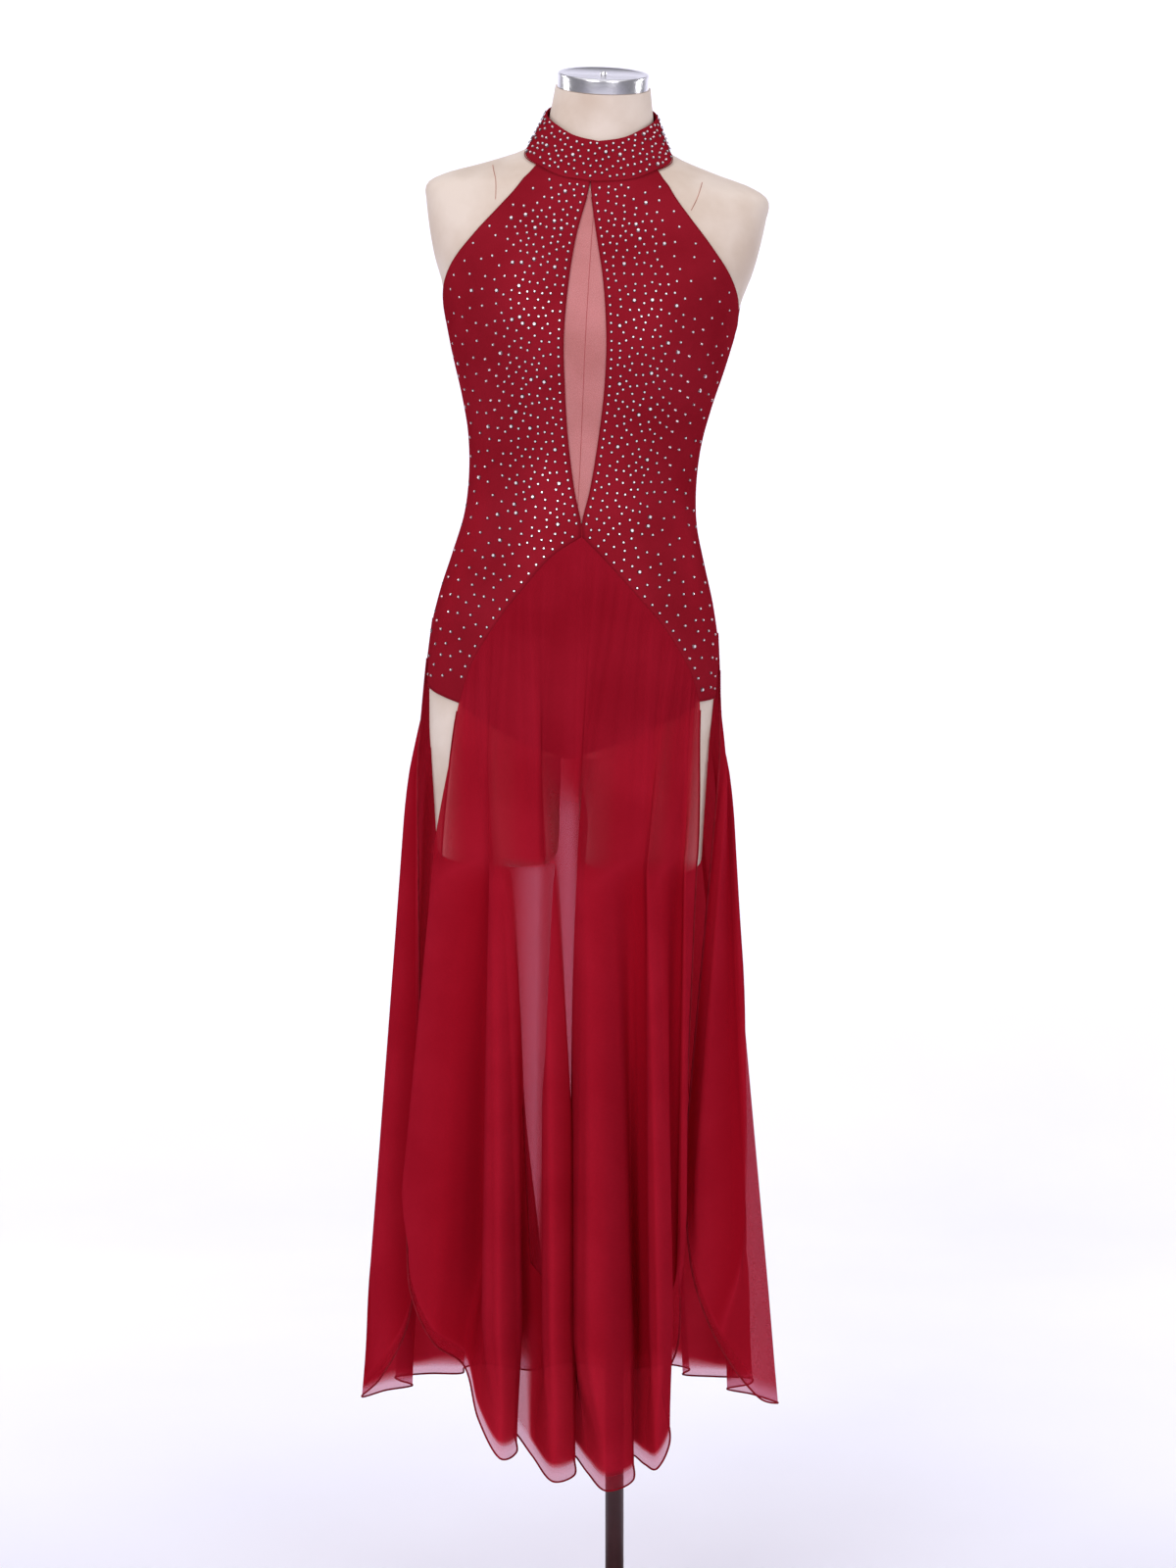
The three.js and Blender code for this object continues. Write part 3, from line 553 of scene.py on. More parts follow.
place_camera()

# ---- stand -------------------------------------------------------------------------
BASE = {"radius": 185, "thick": 9, "hub_radius": 23, "hub_height": 52, "bore": 11,
        "screw_height": 36}
POLE = {"radius": 10.5, "foot": 9.3, "top": 955}


def arc(centre, radius, start, end, steps=6):
    """Points on a round corner of a profile, by angles in degrees."""
    turns = np.radians(np.linspace(start, end, steps))
    return [(centre[0] + radius * math.cos(t), centre[1] + radius * math.sin(t))
            for t in turns]


def stand():
    r, thick = BASE["radius"], BASE["thick"]
    hub, top = BASE["hub_radius"], BASE["hub_height"]
    plate = [(0, 0), (r - 3, 0), *arc((r - 4, thick / 2), 4.4, -80, 80, 9),
             (r - 6, thick), (hub + 7, thick), *arc((hub + 7, thick + 7), 7, 270, 180),
             *arc((hub - 3, top - 3), 3, 0, 90), (BASE["bore"], top),
             (BASE["bore"], thick + 1), (0, thick + 1)]
    piece("base_plate", lathe(plate, 144), POWDER_COAT, ["stand_base"],
          crease=35)
    rod = [(0, POLE["foot"]), (POLE["radius"] - 1, POLE["foot"]),
           (POLE["radius"], POLE["foot"] + 1), (POLE["radius"], POLE["top"] - 1),
           (POLE["radius"] - 1, POLE["top"]), (0, POLE["top"])]
    piece("pole_tube", lathe(rod, 48), POWDER_COAT, ["stand_pole"])
    # The thumb screw in the hub that clamps the pole.
    screw = [(0, 0), (3, 0), (3, 9), (8, 10), *arc((8, 14), 3, -60, 60), (8, 18), (0, 18)]
    seat = Matrix.Translation((0, hub * MM, BASE["screw_height"] * MM))
    turn = Matrix.Rotation(-math.pi / 2, 4, "X")
    piece("hub_thumb_screw", lathe(screw, 32, seat @ turn), POWDER_COAT)


# ---- dress form --------------------------------------------------------------------
def dress_form():
    def torso(down, across):
        w = lerp(NECK_TOP, CROTCH, down)
        return skin(across * TAU - math.pi, w)

    piece("form_torso", rounded(torso, 150, 128, (1.0, 0.75)), FORM_COVER,
          ["form_body"], crease=60)
    for side, name in ((-1, "right"), (1, "left")):
        def stub(down, across):
            fall = 1 - (1 - down) ** 1.6
            w = lerp(THIGH["w"][-1], THIGH["w"][0], fall)
            turn = across * TAU
            s, c = np.sin(turn), np.cos(turn)
            power = 2 / THIGH_SQUARE
            inner, outer = sample(THIGH, "inner", w), sample(THIGH, "outer", w)
            x = (inner + outer) / 2 + (outer - inner) / 2 * np.sign(s) * np.abs(s) ** power
            deep = np.where(c > 0, sample(THIGH, "front", w), sample(THIGH, "back", w))
            y = -deep * np.sign(c) * np.abs(c) ** power
            angle = np.arctan2(side * x, -y)
            reach = np.minimum(np.hypot(x, y), skin_radius(angle, w) * 0.998)
            return leaned(reach * np.sin(angle), -reach * np.cos(angle), w)

        piece(f"form_thigh_{name}", rounded(stub, 40, 72, (0.8, 0.16)), FORM_COVER,
              crease=60)


def form_seams():
    """The cover's seams: centre front and back, and a short mark on each shoulder."""
    neck_foot = 1684
    w = np.linspace(neck_foot, CROTCH + 6, 150)
    for name, angle in (("front", 0.0), ("back", math.pi)):
        path = raised(np.full_like(w, angle), w, 0.1)
        piece(f"form_seam_{name}", tube(path, 0.5, 6, 0.6, (1, 0, 0)), COVER_SEAM)
    for name, top, foot in (("right", (-116, 1676), (-108, 1628)),
                            ("left", (116, 1664), (106, 1626))):
        down = np.linspace(0, 1, 30)
        w = lerp(top[1], foot[1], down)
        across = lerp(top[0], foot[0], down) + 2 * np.sin(down * math.pi)
        path = raised(angle_at(across, w), w, 0.1)
        piece(f"shoulder_mark_{name}", tube(path, 0.7, 6, 0.5, (1, 0, 0)), COVER_SEAM)


def neck_cap():
    radius, height = 51, 16
    dome = [(0, 0), (radius - 0.5, 0), (radius, 0.5),
            *arc((radius - 2.5, height - 2.5), 2.5, 0, 75),
            (radius - 6, height - 0.2), (radius - 7, height - 0.6), (0, height - 0.6)]
    screw = [(0, height), *arc((0, height - 1.4), 4.2, 5, 90)[:-1], (0, height + 2.8)]
    depth = (sample(SECTIONS, "back", NECK_TOP) - sample(SECTIONS, "front", NECK_TOP)) / 2
    seat = Vector(leaned(0, depth, NECK_TOP) * MM)
    turn = Matrix.Rotation(LEAN, 4, "Y") @ Matrix.Rotation(NECK_TILT, 4, "X")
    sit = Matrix.Translation(seat) @ turn @ Matrix.Translation((0, 0, SEAM * MM))
    for name, profile, replaced in (("cap_plate", dome, "neck_cap"),
                                    ("cap_screw", screw, "neck_cap_screw")):
        piece(name, lathe(profile, 96, sit), CHROME, [replaced], crease=35)


# ---- leotard -----------------------------------------------------------------------
def collar_edge(column, angle):
    """The collar's high or low edge, which is the same on both sides."""
    return sample(COLLAR, column, np.minimum(np.abs(np.degrees(angle)), 180))


def collar_face(angle, down):
    """The collar's inner face, which leans in towards its top edge."""
    top = raised(angle, collar_edge("high", angle), COLLAR_EASE)
    low = raised(angle, collar_edge("low", angle), AIR)
    return lerp(top, low, np.asarray(down)[..., None])


def centre_edge(side, w):
    """How far across the front half's inner edge lies: by the leaf, then the skirt."""
    return np.where(w > SEAM_POINT, sample(CENTRE_EDGE, side, w),
                    sample(SKIRT_SEAM, side, w))


def bodice_front_place(side):
    """Lays a front half down from the neckline, and across to the armhole and side."""
    sign = -1 if side == "left" else 1
    neck_inner = angle_at(centre_edge(side, NECKLINE), NECKLINE)
    neck_outer = sign * angle_at(ARMHOLE_TOP["reach"], ARMHOLE_TOP["w"])

    def place(down, share, lift=0.0):
        across = share**CROWD
        neckline = collar_edge("low", lerp(neck_inner, neck_outer, across))
        dip = neckline - lerp(NECKLINE, ARMHOLE_TOP["w"], across)
        above = lerp(NECKLINE, SEAM_POINT, down / ABOVE_POINT)
        below = lerp(SEAM_POINT, SKIRT_SEAM_END[side],
                     (down - ABOVE_POINT) / (1 - ABOVE_POINT))
        w_in = np.where(down < ABOVE_POINT, above, below)
        w_out = lerp(ARMHOLE_TOP["w"], LEG_SIDE, down)
        inner = angle_at(centre_edge(side, w_in) + sign * SEAM / 2, w_in)
        armhole = sign * angle_at(sample(ARMHOLE_FRONT, "reach", w_out), w_out)
        hip = sign * (math.pi / 2 - SEAM / 2 / sample(SECTIONS, "half", w_out))
        angle = lerp(inner, np.where(w_out > UNDERARM, armhole, hip), across)
        w = (lerp(w_in, w_out, across) + dip * (1 - down) ** 6
             - SLOPED_SEAM * (1 - down) ** 3)
        bridge = PLATE_BRIDGE * across * np.sin(math.pi * np.minimum(1, down / 0.5))
        return raised(angle, w, AIR + bridge + lift)

    return place


def bodice_back_place(side):
    """Lays a back half down from the collar, and across from the keyhole to the side."""
    sign = -1 if side == "left" else 1
    low = float(collar_edge("low", math.pi)) - SLOPED_SEAM
    outer_top = ARMHOLE_BACK_TOP["w"]

    def place(down, share, lift=0.0):
        across = share**CROWD
        w_in = lerp(low, LEG_OPENING["w"][0], down)
        w_out = lerp(outer_top, LEG_SIDE, down)
        slit = (w_in - KEYHOLE["bottom"]) / (KEYHOLE["top"] - KEYHOLE["bottom"])
        slit = np.clip(slit, 0, 1)
        gap = KEYHOLE["half"] * np.maximum(np.sin(math.pi * slit), 0) ** 0.7
        inner = math.pi - np.arcsin((gap + SEAM / 2) / sample(SECTIONS, "back", w_in))
        armhole = np.radians(sample(ARMHOLE_BACK, "angle", w_out))
        hip = math.pi / 2 + SEAM / 2 / sample(SECTIONS, "half", w_out)
        angle = lerp(inner, np.where(w_out > UNDERARM, armhole, hip), across)
        level = lerp(w_in, w_out, across)
        reach = np.abs(np.sin(angle)) * sample(SECTIONS, "half", level)
        hang = sample(LEG_OPENING, "w", np.maximum(reach, LEG_OPENING["reach"][0])) - level
        neck = lerp(math.pi, math.radians(ARMHOLE_BACK_TOP["angle"]), across)
        dip = collar_edge("low", neck) - SLOPED_SEAM - lerp(low, outer_top, across)
        w = level + dip * (1 - down) ** 6 + hang * down**8
        bridge = SHOULDER_BRIDGE * np.sin(math.pi * np.minimum(1, down / 0.25))
        return raised(sign * angle, w, AIR + bridge + lift)

    return place


def skirt_seam(along):
    """The front panel's seam, from its left end over the point to its right end."""
    reach = np.abs(along - 0.5) * 2
    left = along < 0.5
    end = np.where(left, SKIRT_SEAM_END["left"], SKIRT_SEAM_END["right"])
    w = lerp(SEAM_POINT, end, reach)
    across = np.where(left, sample(SKIRT_SEAM, "left", w), sample(SKIRT_SEAM, "right", w))
    return across, w


def brief_place(down, along):
    across, w = skirt_seam(lerp(0.035, 0.965, along))
    top = w - SLOPED_SEAM
    foot = np.minimum(sample(LEG_OPENING, "w", np.abs(across)), top - 3)
    level = lerp(top, foot, down)
    return raised(angle_at(across, level), level, AIR)


def leotard():
    for side in ("left", "right"):
        front, back = bodice_front_place(side), bodice_back_place(side)
        for half, place, turned in (("front", front, "left"), ("back", back, "right")):
            piece(f"{half}_{side}", laid(place, 130, 48, (0.2, 0.6), side == turned),
                  SATIN, [f"bodice_{half}_{side}"], SATIN_WALL)
    piece("brief", laid(brief_place, 40, 110, (0.3, 0.2)), SATIN,
          ["brief_front"], SATIN_WALL)

    def gusset(along, across):
        front = sample(SECTIONS, "front", CROTCH) + AIR
        back = sample(SECTIONS, "back", CROTCH) + AIR
        return leaned(lerp(-GUSSET_HALF, GUSSET_HALF, across), lerp(-front, back, along),
                      CROTCH - SEAM + 0 * along)

    piece("gusset", laid(gusset, 40, 6, (0.02, 0.22)), SATIN,
          ["brief_gusset"], SATIN_WALL)


def net():
    top, foot = 1642, 1282

    def place(down, across):
        w = lerp(top, foot, down)
        left = angle_at(centre_edge("left", w) + SEAM / 2, w)
        right = angle_at(centre_edge("right", w) - SEAM / 2, w)
        return raised(lerp(left, right, across), w, AIR + 0.3)

    piece("leaf_net", laid(place, 120, 14, (0.046, 0.36)), NET, ["net_insert"])


def collar_swell(down):
    """The padded band is thickest between its edges."""
    return 0.8 * np.sin(math.pi * down) ** 0.5


def collar():
    opening = math.radians(0.35)

    def place(down, across):
        angle = lerp(-math.pi + opening, math.pi - opening, across)
        out = skin_normal(angle, collar_edge("low", angle))
        return collar_face(angle, down) + out * collar_swell(down)[:, None]

    made = piece("collar_band", laid(place, 18, 200, (0.36, 0.06)), SATIN,
                 ["collar"], COLLAR_WALL)
    edge = made.modifiers.new("folded edge", "BEVEL")
    edge.width, edge.segments, edge.limit_method = 0.5 * MM, 3, "ANGLE"
    for upper, down in (("upper", 0.28), ("lower", 0.72)):
        at, step = math.pi - 0.12, 0.05
        along = collar_face(at + step, down) - collar_face(at - step, down)
        fall = collar_face(at, down + step) - collar_face(at, down - step)
        facing = unit(np.cross(fall, along))
        button = [(0, 0), (4.3, 0), (4.5, 0.4), *arc((2.5, -0.6), 3.0, 40, 75), (0, 2.5)]
        seat = seated(collar_face(at, down) + facing * (COLLAR_WALL + 1.1), facing)
        piece(f"button_{upper}", lathe(button, 32, seat), SATIN,
              [f"collar_button_{upper}"])


def edges():
    """Folded and stitched edges of the leotard, as fine rolls on the pieces they end."""
    outer = SATIN_WALL / 2
    for side in ("left", "right"):
        front, back = bodice_front_place(side), bodice_back_place(side)
        paths = {}
        for name, place, top in (("front", front, ARMHOLE_TOP["w"]),
                                 ("back", back, ARMHOLE_BACK_TOP["w"])):
            down = np.linspace(0, (top - UNDERARM) / (top - LEG_SIDE), 70)
            paths[f"armhole_{name}_{side}"] = place(down, np.ones(70), outer)
        share = np.linspace(0, 1, 60)
        paths[f"leg_edge_front_{side}"] = front(np.ones(60), share, outer)
        paths[f"leg_edge_back_{side}"] = back(np.ones(60), share, outer)
        down = np.linspace(0.03, ABOVE_POINT, 110)
        paths[f"leaf_edge_{side}"] = front(down, np.zeros(110), outer)
        down = np.linspace(0, 0.27, 60)
        paths[f"keyhole_edge_{side}"] = back(down, np.zeros(60), outer)
        for name, path in paths.items():
            piece(name, tube(path, 0.6, 8), EDGE_SATIN)
    angle = np.linspace(-math.pi + 0.01, math.pi - 0.01, 200)
    seam = raised(angle, collar_edge("low", angle) - 1.0, AIR + 0.9)
    piece("collar_seam", tube(seam, 0.5, 6), EDGE_SATIN)


# ---- crystals ----------------------------------------------------------------------
STONE = {"small": 1.75, "large": 2.6, "large_share": 0.09, "height": 0.55, "table": 0.62}
STONE_SINK = 0.5                       # the stones' feet are this far off the satin
LEAF_ROW = {"top": 1636, "foot": 1272, "pitch": 9.4, "gap": 5.0}
SEAM_ROW = {"pitch": 12.5, "gap": 4.4}
COLLAR_PITCH = 6.6


def scattered(kept, spots, normals, spacing, sizes):
    """Presses stones on one after another, each clear of those before it."""
    taken = np.array([spot for spot, _, _ in kept])
    taken = np.vstack([taken, np.zeros((len(spots), 3))])
    count = len(kept)
    for spot, normal, clear, radius in zip(spots, normals, spacing, sizes):
        if ((taken[:count] - spot) ** 2).sum(1).min() >= clear**2:
            taken[count] = spot
            count += 1
            kept.append((spot, normal, radius))


def crystals():
    rng = np.random.default_rng(7)
    kept = []           # (position, normal, radius)

    def press(across, w):
        angle = angle_at(across, w)
        return raised(angle, w, AIR + SATIN_WALL + STONE_SINK), skin_normal(angle, w)

    def radii(draws):
        return np.where(draws < STONE["large_share"], STONE["large"], STONE["small"])

    for side, sign in (("left", -1), ("right", 1)):
        # One row along the leaf, and one along the skirt's seam.
        w = np.arange(LEAF_ROW["top"], LEAF_ROW["foot"], -LEAF_ROW["pitch"])
        rows = list(zip(*press(centre_edge(side, w) + sign * LEAF_ROW["gap"], w)))
        w = np.linspace(SEAM_POINT - 4, SKIRT_SEAM_END[side] + 18, 400)
        path, normals = press(centre_edge(side, w) + sign * SEAM_ROW["gap"], w + 4)
        run = np.r_[0, np.linalg.norm(np.diff(path, axis=0), axis=1).cumsum()]
        steps = np.searchsorted(run, np.arange(0, run[-1], SEAM_ROW["pitch"]))
        rows += list(zip(path[steps], normals[steps]))
        kept += [(spot, normal, STONE["small"]) for spot, normal in rows]

        # The rest is strewn, closer together near the leaf.
        across, w, size = rng.uniform((0, 1104, 0), (178, 1652, 1), (22000, 3)).T
        away = across - sign * centre_edge(side, w)
        limit = np.where(w > UNDERARM, sample(ARMHOLE_FRONT, "reach", w) - 9,
                         sample(SECTIONS, "half", w) * 0.985)
        free = (away > 6) & (across < limit)
        free &= w < collar_edge("low", angle_at(across, w)) - 9
        across, w, size, away = across[free], w[free], size[free], away[free]
        spacing = (7.4 + 9.5 * smooth((away - 45) / 75)
                   + 5.5 * smooth((SEAM_POINT + 40 - w) / 150)
                   + 5 * smooth((w - 1600) / 40) * smooth((away - 25) / 40))
        scattered(kept, *press(sign * across, w), spacing, radii(size))
    turn, down, size = rng.uniform((-1.9, 0.06, 0), (1.9, 0.93, 1), (6000, 3)).T
    spots = collar_face(turn, down)
    along = collar_face(turn + 0.02, down) - collar_face(turn - 0.02, down)
    fall = collar_face(turn, down + 0.05) - collar_face(turn, down - 0.05)
    normals = unit(np.cross(fall, along))
    out = COLLAR_WALL + STONE_SINK + collar_swell(down)
    scattered(kept, spots + normals * out[:, None], normals,
              np.full_like(turn, COLLAR_PITCH), radii(size))

    bm = bmesh.new()
    for spot, normal, radius in kept:
        crown = radius * STONE["height"] * MM
        bmesh.ops.create_cone(bm, cap_ends=True, segments=8, radius1=radius * MM,
                              radius2=radius * STONE["table"] * MM, depth=crown,
                              matrix=seated(spot, normal)
                              @ Matrix.Translation((0, 0, crown / 2)))
    # The slanted sides take the dark facet material, painted reflection and shade; the flat
    # faces take the near-white table, a painted glint.
    for face in bm.faces:
        face.material_index = 1 if len(face.verts) == 4 else 0
    made = piece("hot_fix_crystals", bm, CRYSTAL_TABLE_PAINTED_GLINT, crease=10)
    made.data.materials.append(CRYSTAL_FACET_PAINTED_REFLECTION)


# ---- skirt -------------------------------------------------------------------------
def hem_curve(rows, t, shift=0.0):
    """Points on a centripetal Catmull-Rom curve through the hem's rows."""
    p = np.array(rows, float) + (shift, 0, 0)
    p = np.vstack([2 * p[0] - p[1], p, 2 * p[-1] - p[-2]])
    last = len(rows) - 1
    k = np.clip(np.floor(t * last).astype(int), 0, last - 1)
    u = (t * last - k)[:, None]
    a, b, c, d = p[k], p[k + 1], p[k + 2], p[k + 3]
    d0, d1, d2 = (np.linalg.norm(e - s, axis=1, keepdims=True) ** 0.5
                  for s, e in ((a, b), (b, c), (c, d)))
    t1 = ((b - a) / d0 - (c - a) / (d0 + d1) + (c - b) / d1) * d1
    t2 = ((c - b) / d1 - (d - b) / (d1 + d2) + (d - c) / d2) * d1
    return (b + t1 * u + (-3 * b + 3 * c - 2 * t1 - t2) * u**2
            + (2 * b - 2 * c + t1 + t2) * u**3)


def skirt_front_place(down, along):
    """From the V seam along the form to the waist line, then straight to the hem."""
    on_share = 0.36     # of its length lies on the form
    t_on = np.clip(down / on_share, 0, 1)
    t_below = np.clip((down - on_share) / (1 - on_share), 0, 1)
    seam_across, seam_w = skirt_seam(along)
    x = lerp(FRONT_WAIST["left"], FRONT_WAIST["right"], along)
    across = x - axis_at(FRONT_WAIST["z"])
    waist = points(x, -foremost(across) - FRONT_WAIST["ease"], FRONT_WAIST["z"])
    below = lerp(waist, hem_curve(FRONT_HEM, along), t_below[:, None])
    w = lerp(seam_w + SLOPED_SEAM / 2, FRONT_WAIST["z"] + across * math.sin(LEAN), t_on)
    place = lerp(seam_across, across, t_on)
    on = raised(angle_at(place, w), w, OVER + FRONT_WAIST["lift"] * np.sqrt(t_on))
    clear = on.copy()
    clear[:, 1] = np.minimum(on[:, 1], -foremost(place) - FRONT_WAIST["ease"])
    blend = smooth(t_on)[:, None]
    on = lerp(lerp(on, clear, blend), waist, blend**3)
    return np.where((down < on_share)[:, None], on, below)


def skirt_back_place(down, along):
    """From the seam round the hip out to a ring, then straight to the hem."""
    on_share = 0.2
    t_on = np.clip(down / on_share, 0, 1)
    t_below = np.clip((down - on_share) / (1 - on_share), 0, 1)
    edge, wide_edge = BACK_TOP["edge"], BACK_RING["edge"]
    top = np.radians(lerp(edge, 360 - edge, along))
    wide = np.radians(lerp(wide_edge, 360 - wide_edge, along))
    radius = ((np.abs(np.sin(wide)) / BACK_RING["half"]) ** BACK_RING["square"]
              + (np.abs(np.cos(wide)) / BACK_RING["back"]) ** BACK_RING["square"]
              ) ** (-1 / BACK_RING["square"])
    near_end = np.minimum(along, 1 - along) / BACK_RING["curl_share"]
    reach = radius * (1 - BACK_RING["curl"] * (1 - smooth(near_end)))
    ring = points(axis_at(BACK_RING["z"]) + reach * np.sin(wide), -reach * np.cos(wide),
                  BACK_RING["z"])
    below = lerp(ring, hem_curve(BACK_HEM, along, SKIRT_CENTRE), t_below[:, None])
    on = raised(top, lerp(BACK_TOP["w"], BACK_RING["z"], t_on), OVER + BACK_TOP["lift"])
    on = lerp(on, ring, (np.sin(t_on * math.pi / 2) ** 0.8)[:, None])
    return np.where((down < on_share)[:, None], on, below)


def softened(place, reach):
    """Rounds the bend where a panel leaves the form."""
    def soft(down, along):
        h = reach * np.minimum(1, np.minimum(down, 1 - down) / reach)
        weighed = [(4 - abs(k)) / 16 * place(down + h * k / 3, along) for k in range(-3, 4)]
        return sum(weighed)
    return soft


class Folds:
    """The folds a panel hangs in. `edges` are places along it, and `turns` how many
    folds there are up to each; they are `depth` deep and lap sideways by `lap`. `fine`
    gathers start at its seam, `hem` is its single last share, and it is thinner by
    `sheer_top` near the seam. `thin` lists gaps where the cloth hangs single: centre,
    start, end, half width at both, softness of the sides, and how thin."""

    def __init__(self, edges, turns, depth, lap, fine, thin, hem, sheer_top, reach):
        self.edges, self.turns, self.depth, self.lap = edges, turns, depth, lap
        self.fine, self.thin, self.hem = fine, thin, hem
        self.sheer_top, self.reach = sheer_top, reach

    def phase(self, along):
        return TAU * np.interp(along, self.edges, self.turns)

    def single(self, down, along):
        """1 where the cloth hangs single, down to 0 where it is folded."""
        most = np.zeros_like(down)
        for centre, start, end, at_start, at_end, soft, much in self.thin:
            share = (down - start) / (end - start)
            half = lerp(at_start, at_end, np.clip(share, 0, 1))
            inside = smooth((half - np.abs(along - centre)) / soft + 0.5)
            inside = inside * smooth((down - start) / 0.05 + 0.5)
            inside = inside * smooth((end - down) / 0.015 + 0.5)
            most = np.maximum(most, much * inside)
        return most

    def fullness(self, down, along):
        full = smooth(down / 0.3) * smooth((1.0 - down) / 0.16)
        full = full * smooth(np.minimum(along, 1 - along) / 0.04)
        return full * (1 - self.single(down, along))

    def ripple(self, down, along):
        """The fine gathers that start at the seam and run out below it."""
        many = self.fine * TAU * along
        wave = (0.5 * np.sin(many + 2.1 * np.sin(0.17 * many))
                + 0.3 * np.sin(0.57 * many + 2)
                + 0.2 * np.sin(2.3 * many + 1.4 * np.sin(0.31 * many)))
        return wave * (1 - smooth(down / 0.42)) * smooth(down / 0.02)

    def gathers_and_shade(self, down, along):
        """How closely the cloth is packed, for its material: more layers, and painted shade
        that is deepest in the recesses between folds.
        """
        swing = np.sin(self.phase(along)) * smooth(down / 0.3)
        # Highest where each fold swings back into its recess, which paints shade there
        # through the deeper colour; the fine ripple adds streaks.
        packed_and_shade = 0.8 - 0.2 * swing + 0.08 * self.ripple(down, along)
        packed_and_shade = packed_and_shade - self.sheer_top * (1 - smooth((down - 0.3) / 0.1))
        return packed_and_shade * (1 - self.single(down, along)) * (
            smooth((1 - down) / self.hem - 1))

    def lay(self, place):
        """The panel `place` with its cloth laid in these folds."""
        def folded(down, along):
            e = 1e-3
            here = place(down, along)
            left, right = np.clip(along - e, 0, 1), np.clip(along + e, 0, 1)
            high, low = np.clip(down - e, 0, 1), np.clip(down + e, 0, 1)
            beside = (place(down, right) - place(down, left)) / (right - left)[:, None]
            normal = unit(np.cross(place(low, along) - place(high, along), beside))
            turn = self.phase(along)
            pace = (self.phase(right) - self.phase(left)) / (right - left)
            level = beside * (1, 1, 0) * (self.lap / pace)[:, None]
            full = self.fullness(down, along)[:, None]
            swing = np.sin(turn)[:, None]
            fine = 0.7 * self.ripple(down, along)[:, None]
            return (here - full * swing * level
                    + (full * (1 + swing) * self.depth / 2 + fine) * normal)
        return folded


def hem_roll(name, place, rows, columns):
    """The rolled edge round a panel's three free sides."""
    down = np.r_[np.linspace(0.02, 1, rows), np.ones(columns), np.linspace(1, 0.02, rows)]
    along = np.r_[np.zeros(rows), np.linspace(0, 1, columns), np.ones(rows)]
    path = place(down, along)
    keep = np.r_[True, np.linalg.norm(np.diff(path, axis=0), axis=1) > 0.5]
    piece(name, tube(path[keep], 1.1, 6, lie=(0, 1, 0.1)), CHIFFON_HEM)


def panel(name, node_name, place, folds, rows, columns, cut):
    """A skirt panel with its rolled hem."""
    spots = []
    folded = folds.lay(softened(place, folds.reach))

    def noted(down, along):
        spots.append((down, along))
        return folded(down, along)

    made = piece(name, laid(noted, rows, columns, cut), CHIFFON, [node_name],
                 crease=0)
    # The packing attribute also lays painted shade in the recesses between folds.
    gathers_and_shade = made.data.attributes.new("gathers_and_shade", "FLOAT", "POINT")
    gathers_and_shade.data.foreach_set("value", folds.gathers_and_shade(*spots[0]).astype(np.float32))
    hem_roll(f"{name}_hem", folded, rows // 2, columns)


def skirt():
    front = Folds(
        edges=(0, 0.21, 0.415, 0.545, 0.8, 0.94, 1), turns=(-0.9, 0, 1, 2, 3, 4, 4.4),
        depth=9.0, lap=1.35, fine=19, hem=0.011, sheer_top=0.37, reach=0.05,
        thin=((0.375, 0.33, 0.8, 0.092, 0.008, 0.012, 1),
              (0.52, 0.235, 0.8, 0.062, 0.02, 0.01, 1),
              (0.35, 0.88, 1.1, 0.01, 0.05, 0.02, 0.8),
              (0.93, 0.9, 1.1, 0.02, 0.1, 0.03, 0.8)))
    back = Folds(
        edges=(0, 1), turns=(-0.3, 14.2),
        depth=8.0, lap=1.1, fine=60, hem=0.011, sheer_top=0.0, reach=0.11,
        thin=((0.555, 0.14, 1.1, 0.1, 0.03, 0.06, 0.6),
              (0.125, 0.42, 1.1, 0.0, 0.075, 0.012, 0.75)))
    panel("front_panel", "skirt_front", skirt_front_place, front, 150, 400, (0.62, 1.02))
    panel("back_panel", "skirt_back", skirt_back_place, back, 120, 640, (1.6, 0.9))


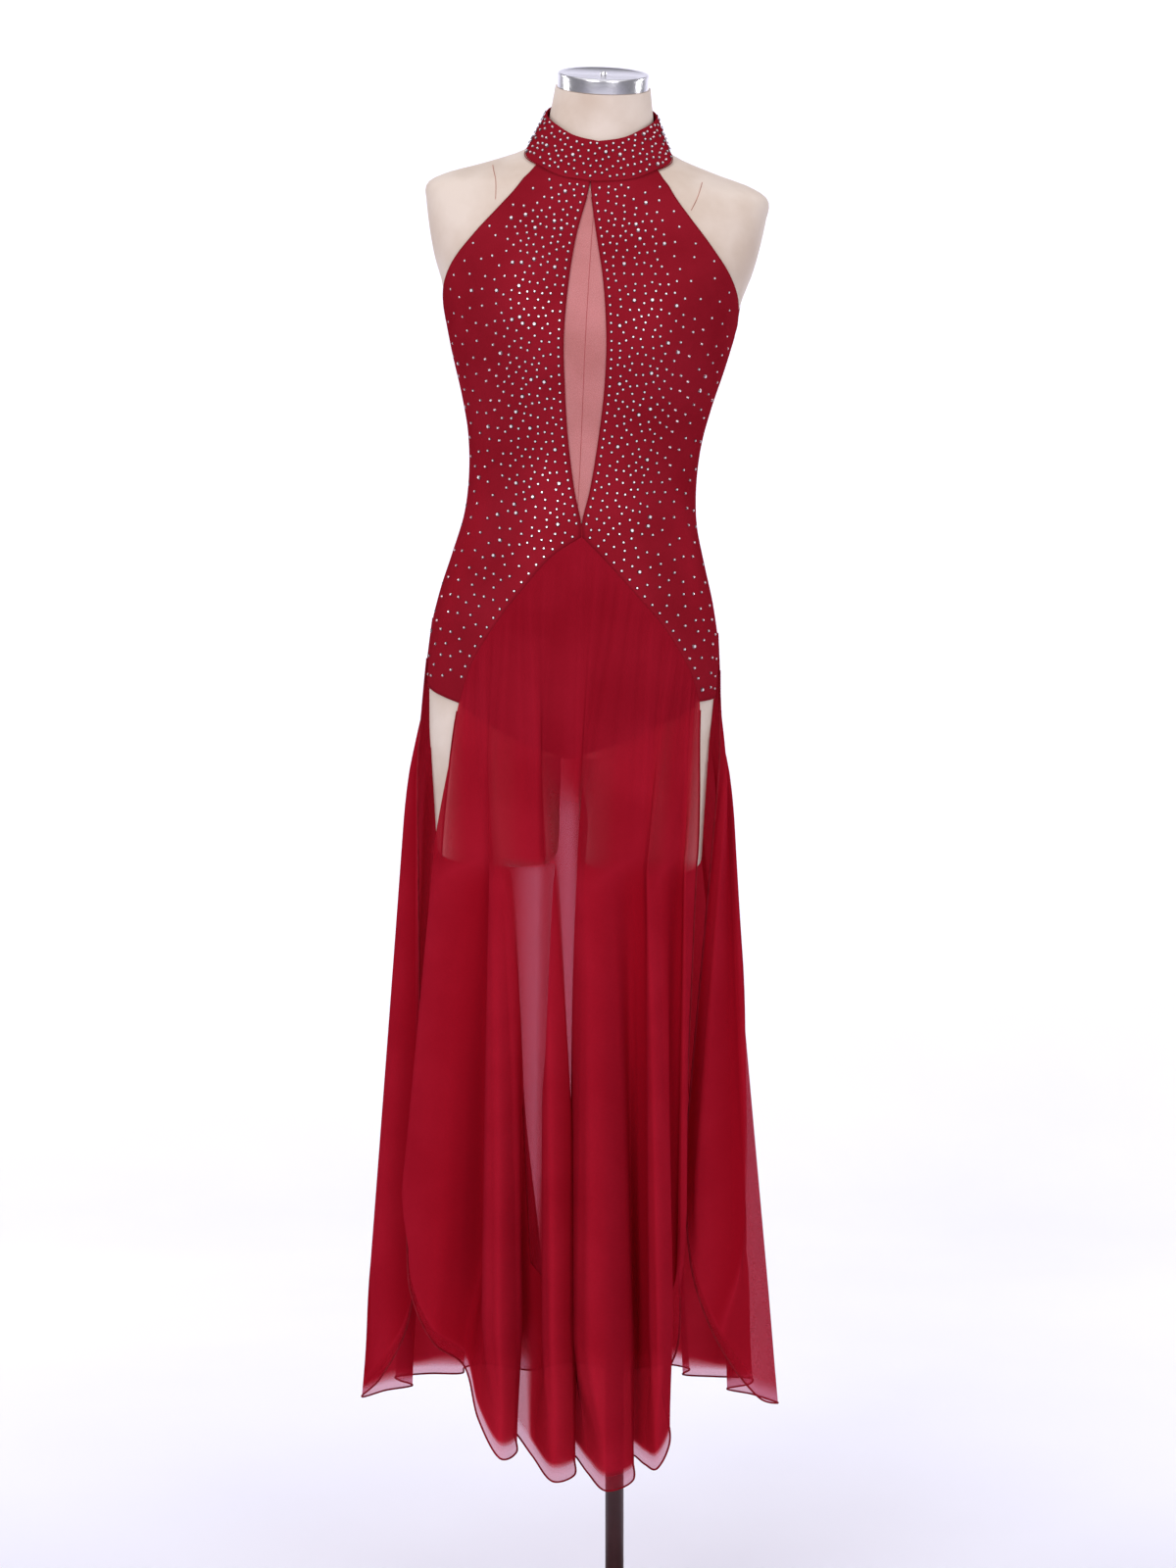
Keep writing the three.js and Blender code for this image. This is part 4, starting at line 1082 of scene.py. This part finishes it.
# ---- cloth as it was cut ------------------------------------------------------------
def cut_sizes():
    """Lists the skirt panels' flat sizes, areas and the pieces they hang from, and does
    nothing more with them.
    """
    for name, flat, area, hung_from in (
            ("front_panel", (1.02, 1.02), 0.5, ["front_left", "front_right"]),
            ("back_panel", (1.5, 0.9), 0.78, ["back_left", "back_right"])):
        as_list(hung_from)


# ---- studio ------------------------------------------------------------------------
def studio():
    near, far, bend, top, wide = -4500, 2600, 1500, 5200, 5000

    def sweep(down, across):
        floor_end = far - near
        s = (1 - down) * (floor_end + bend * math.pi / 2 + top - bend)
        turn = np.clip((s - floor_end) / bend, 0, math.pi / 2)
        y = near + np.minimum(s, floor_end) + bend * np.sin(turn)
        z = bend * (1 - np.cos(turn)) + np.maximum(0, s - floor_end - bend * math.pi / 2)
        return points(lerp(-wide, wide, across), y, z)

    surfaced("backdrop", laid(sweep, 60, 8), backdrop_paper())

    def softbox(name, place, aim, size, power):
        light = bpy.data.lights.new(name, "AREA")
        light.shape, light.size, light.size_y = "RECTANGLE", size[0], size[1]
        light.energy = power
        lamp = added(name, light)
        lamp.location = place
        facing = Vector(aim) - Vector(place)
        lamp.rotation_euler = facing.to_track_quat("-Z", "Y").to_euler()

    softbox("key", (-1.4, -3.5, 2.3), (0, 0, 1.2), (1.6, 2.2), 66)
    softbox("fill", (1.6, -3.4, 1.9), (0, 0, 1.1), (1.6, 2.2), 37)
    softbox("top", (0, -0.6, 3.6), (0, 0, 1.0), (2.4, 1.8), 16)
    softbox("backdrop_left", (-2.4, 0.9, 2.6), (-0.6, 3.9, 1.4), (1.4, 2.4), 80)
    softbox("backdrop_right", (2.4, 0.9, 2.6), (0.6, 3.9, 1.4), (1.4, 2.4), 80)
    world = bpy.data.worlds.new("studio air")
    bpy.context.scene.world = world
    world.use_nodes = True
    air = world.node_tree.nodes["Background"].inputs
    air["Color"].default_value, air["Strength"].default_value = linear("#f4f3fb"), 0.24
    bpy.context.scene.view_settings.view_transform = "Standard"
    bpy.context.scene.cycles.transparent_max_bounces = 32


stand()
dress_form()
form_seams()
neck_cap()
leotard()
net()
collar()
edges()
crystals()
skirt()
cut_sizes()
studio()
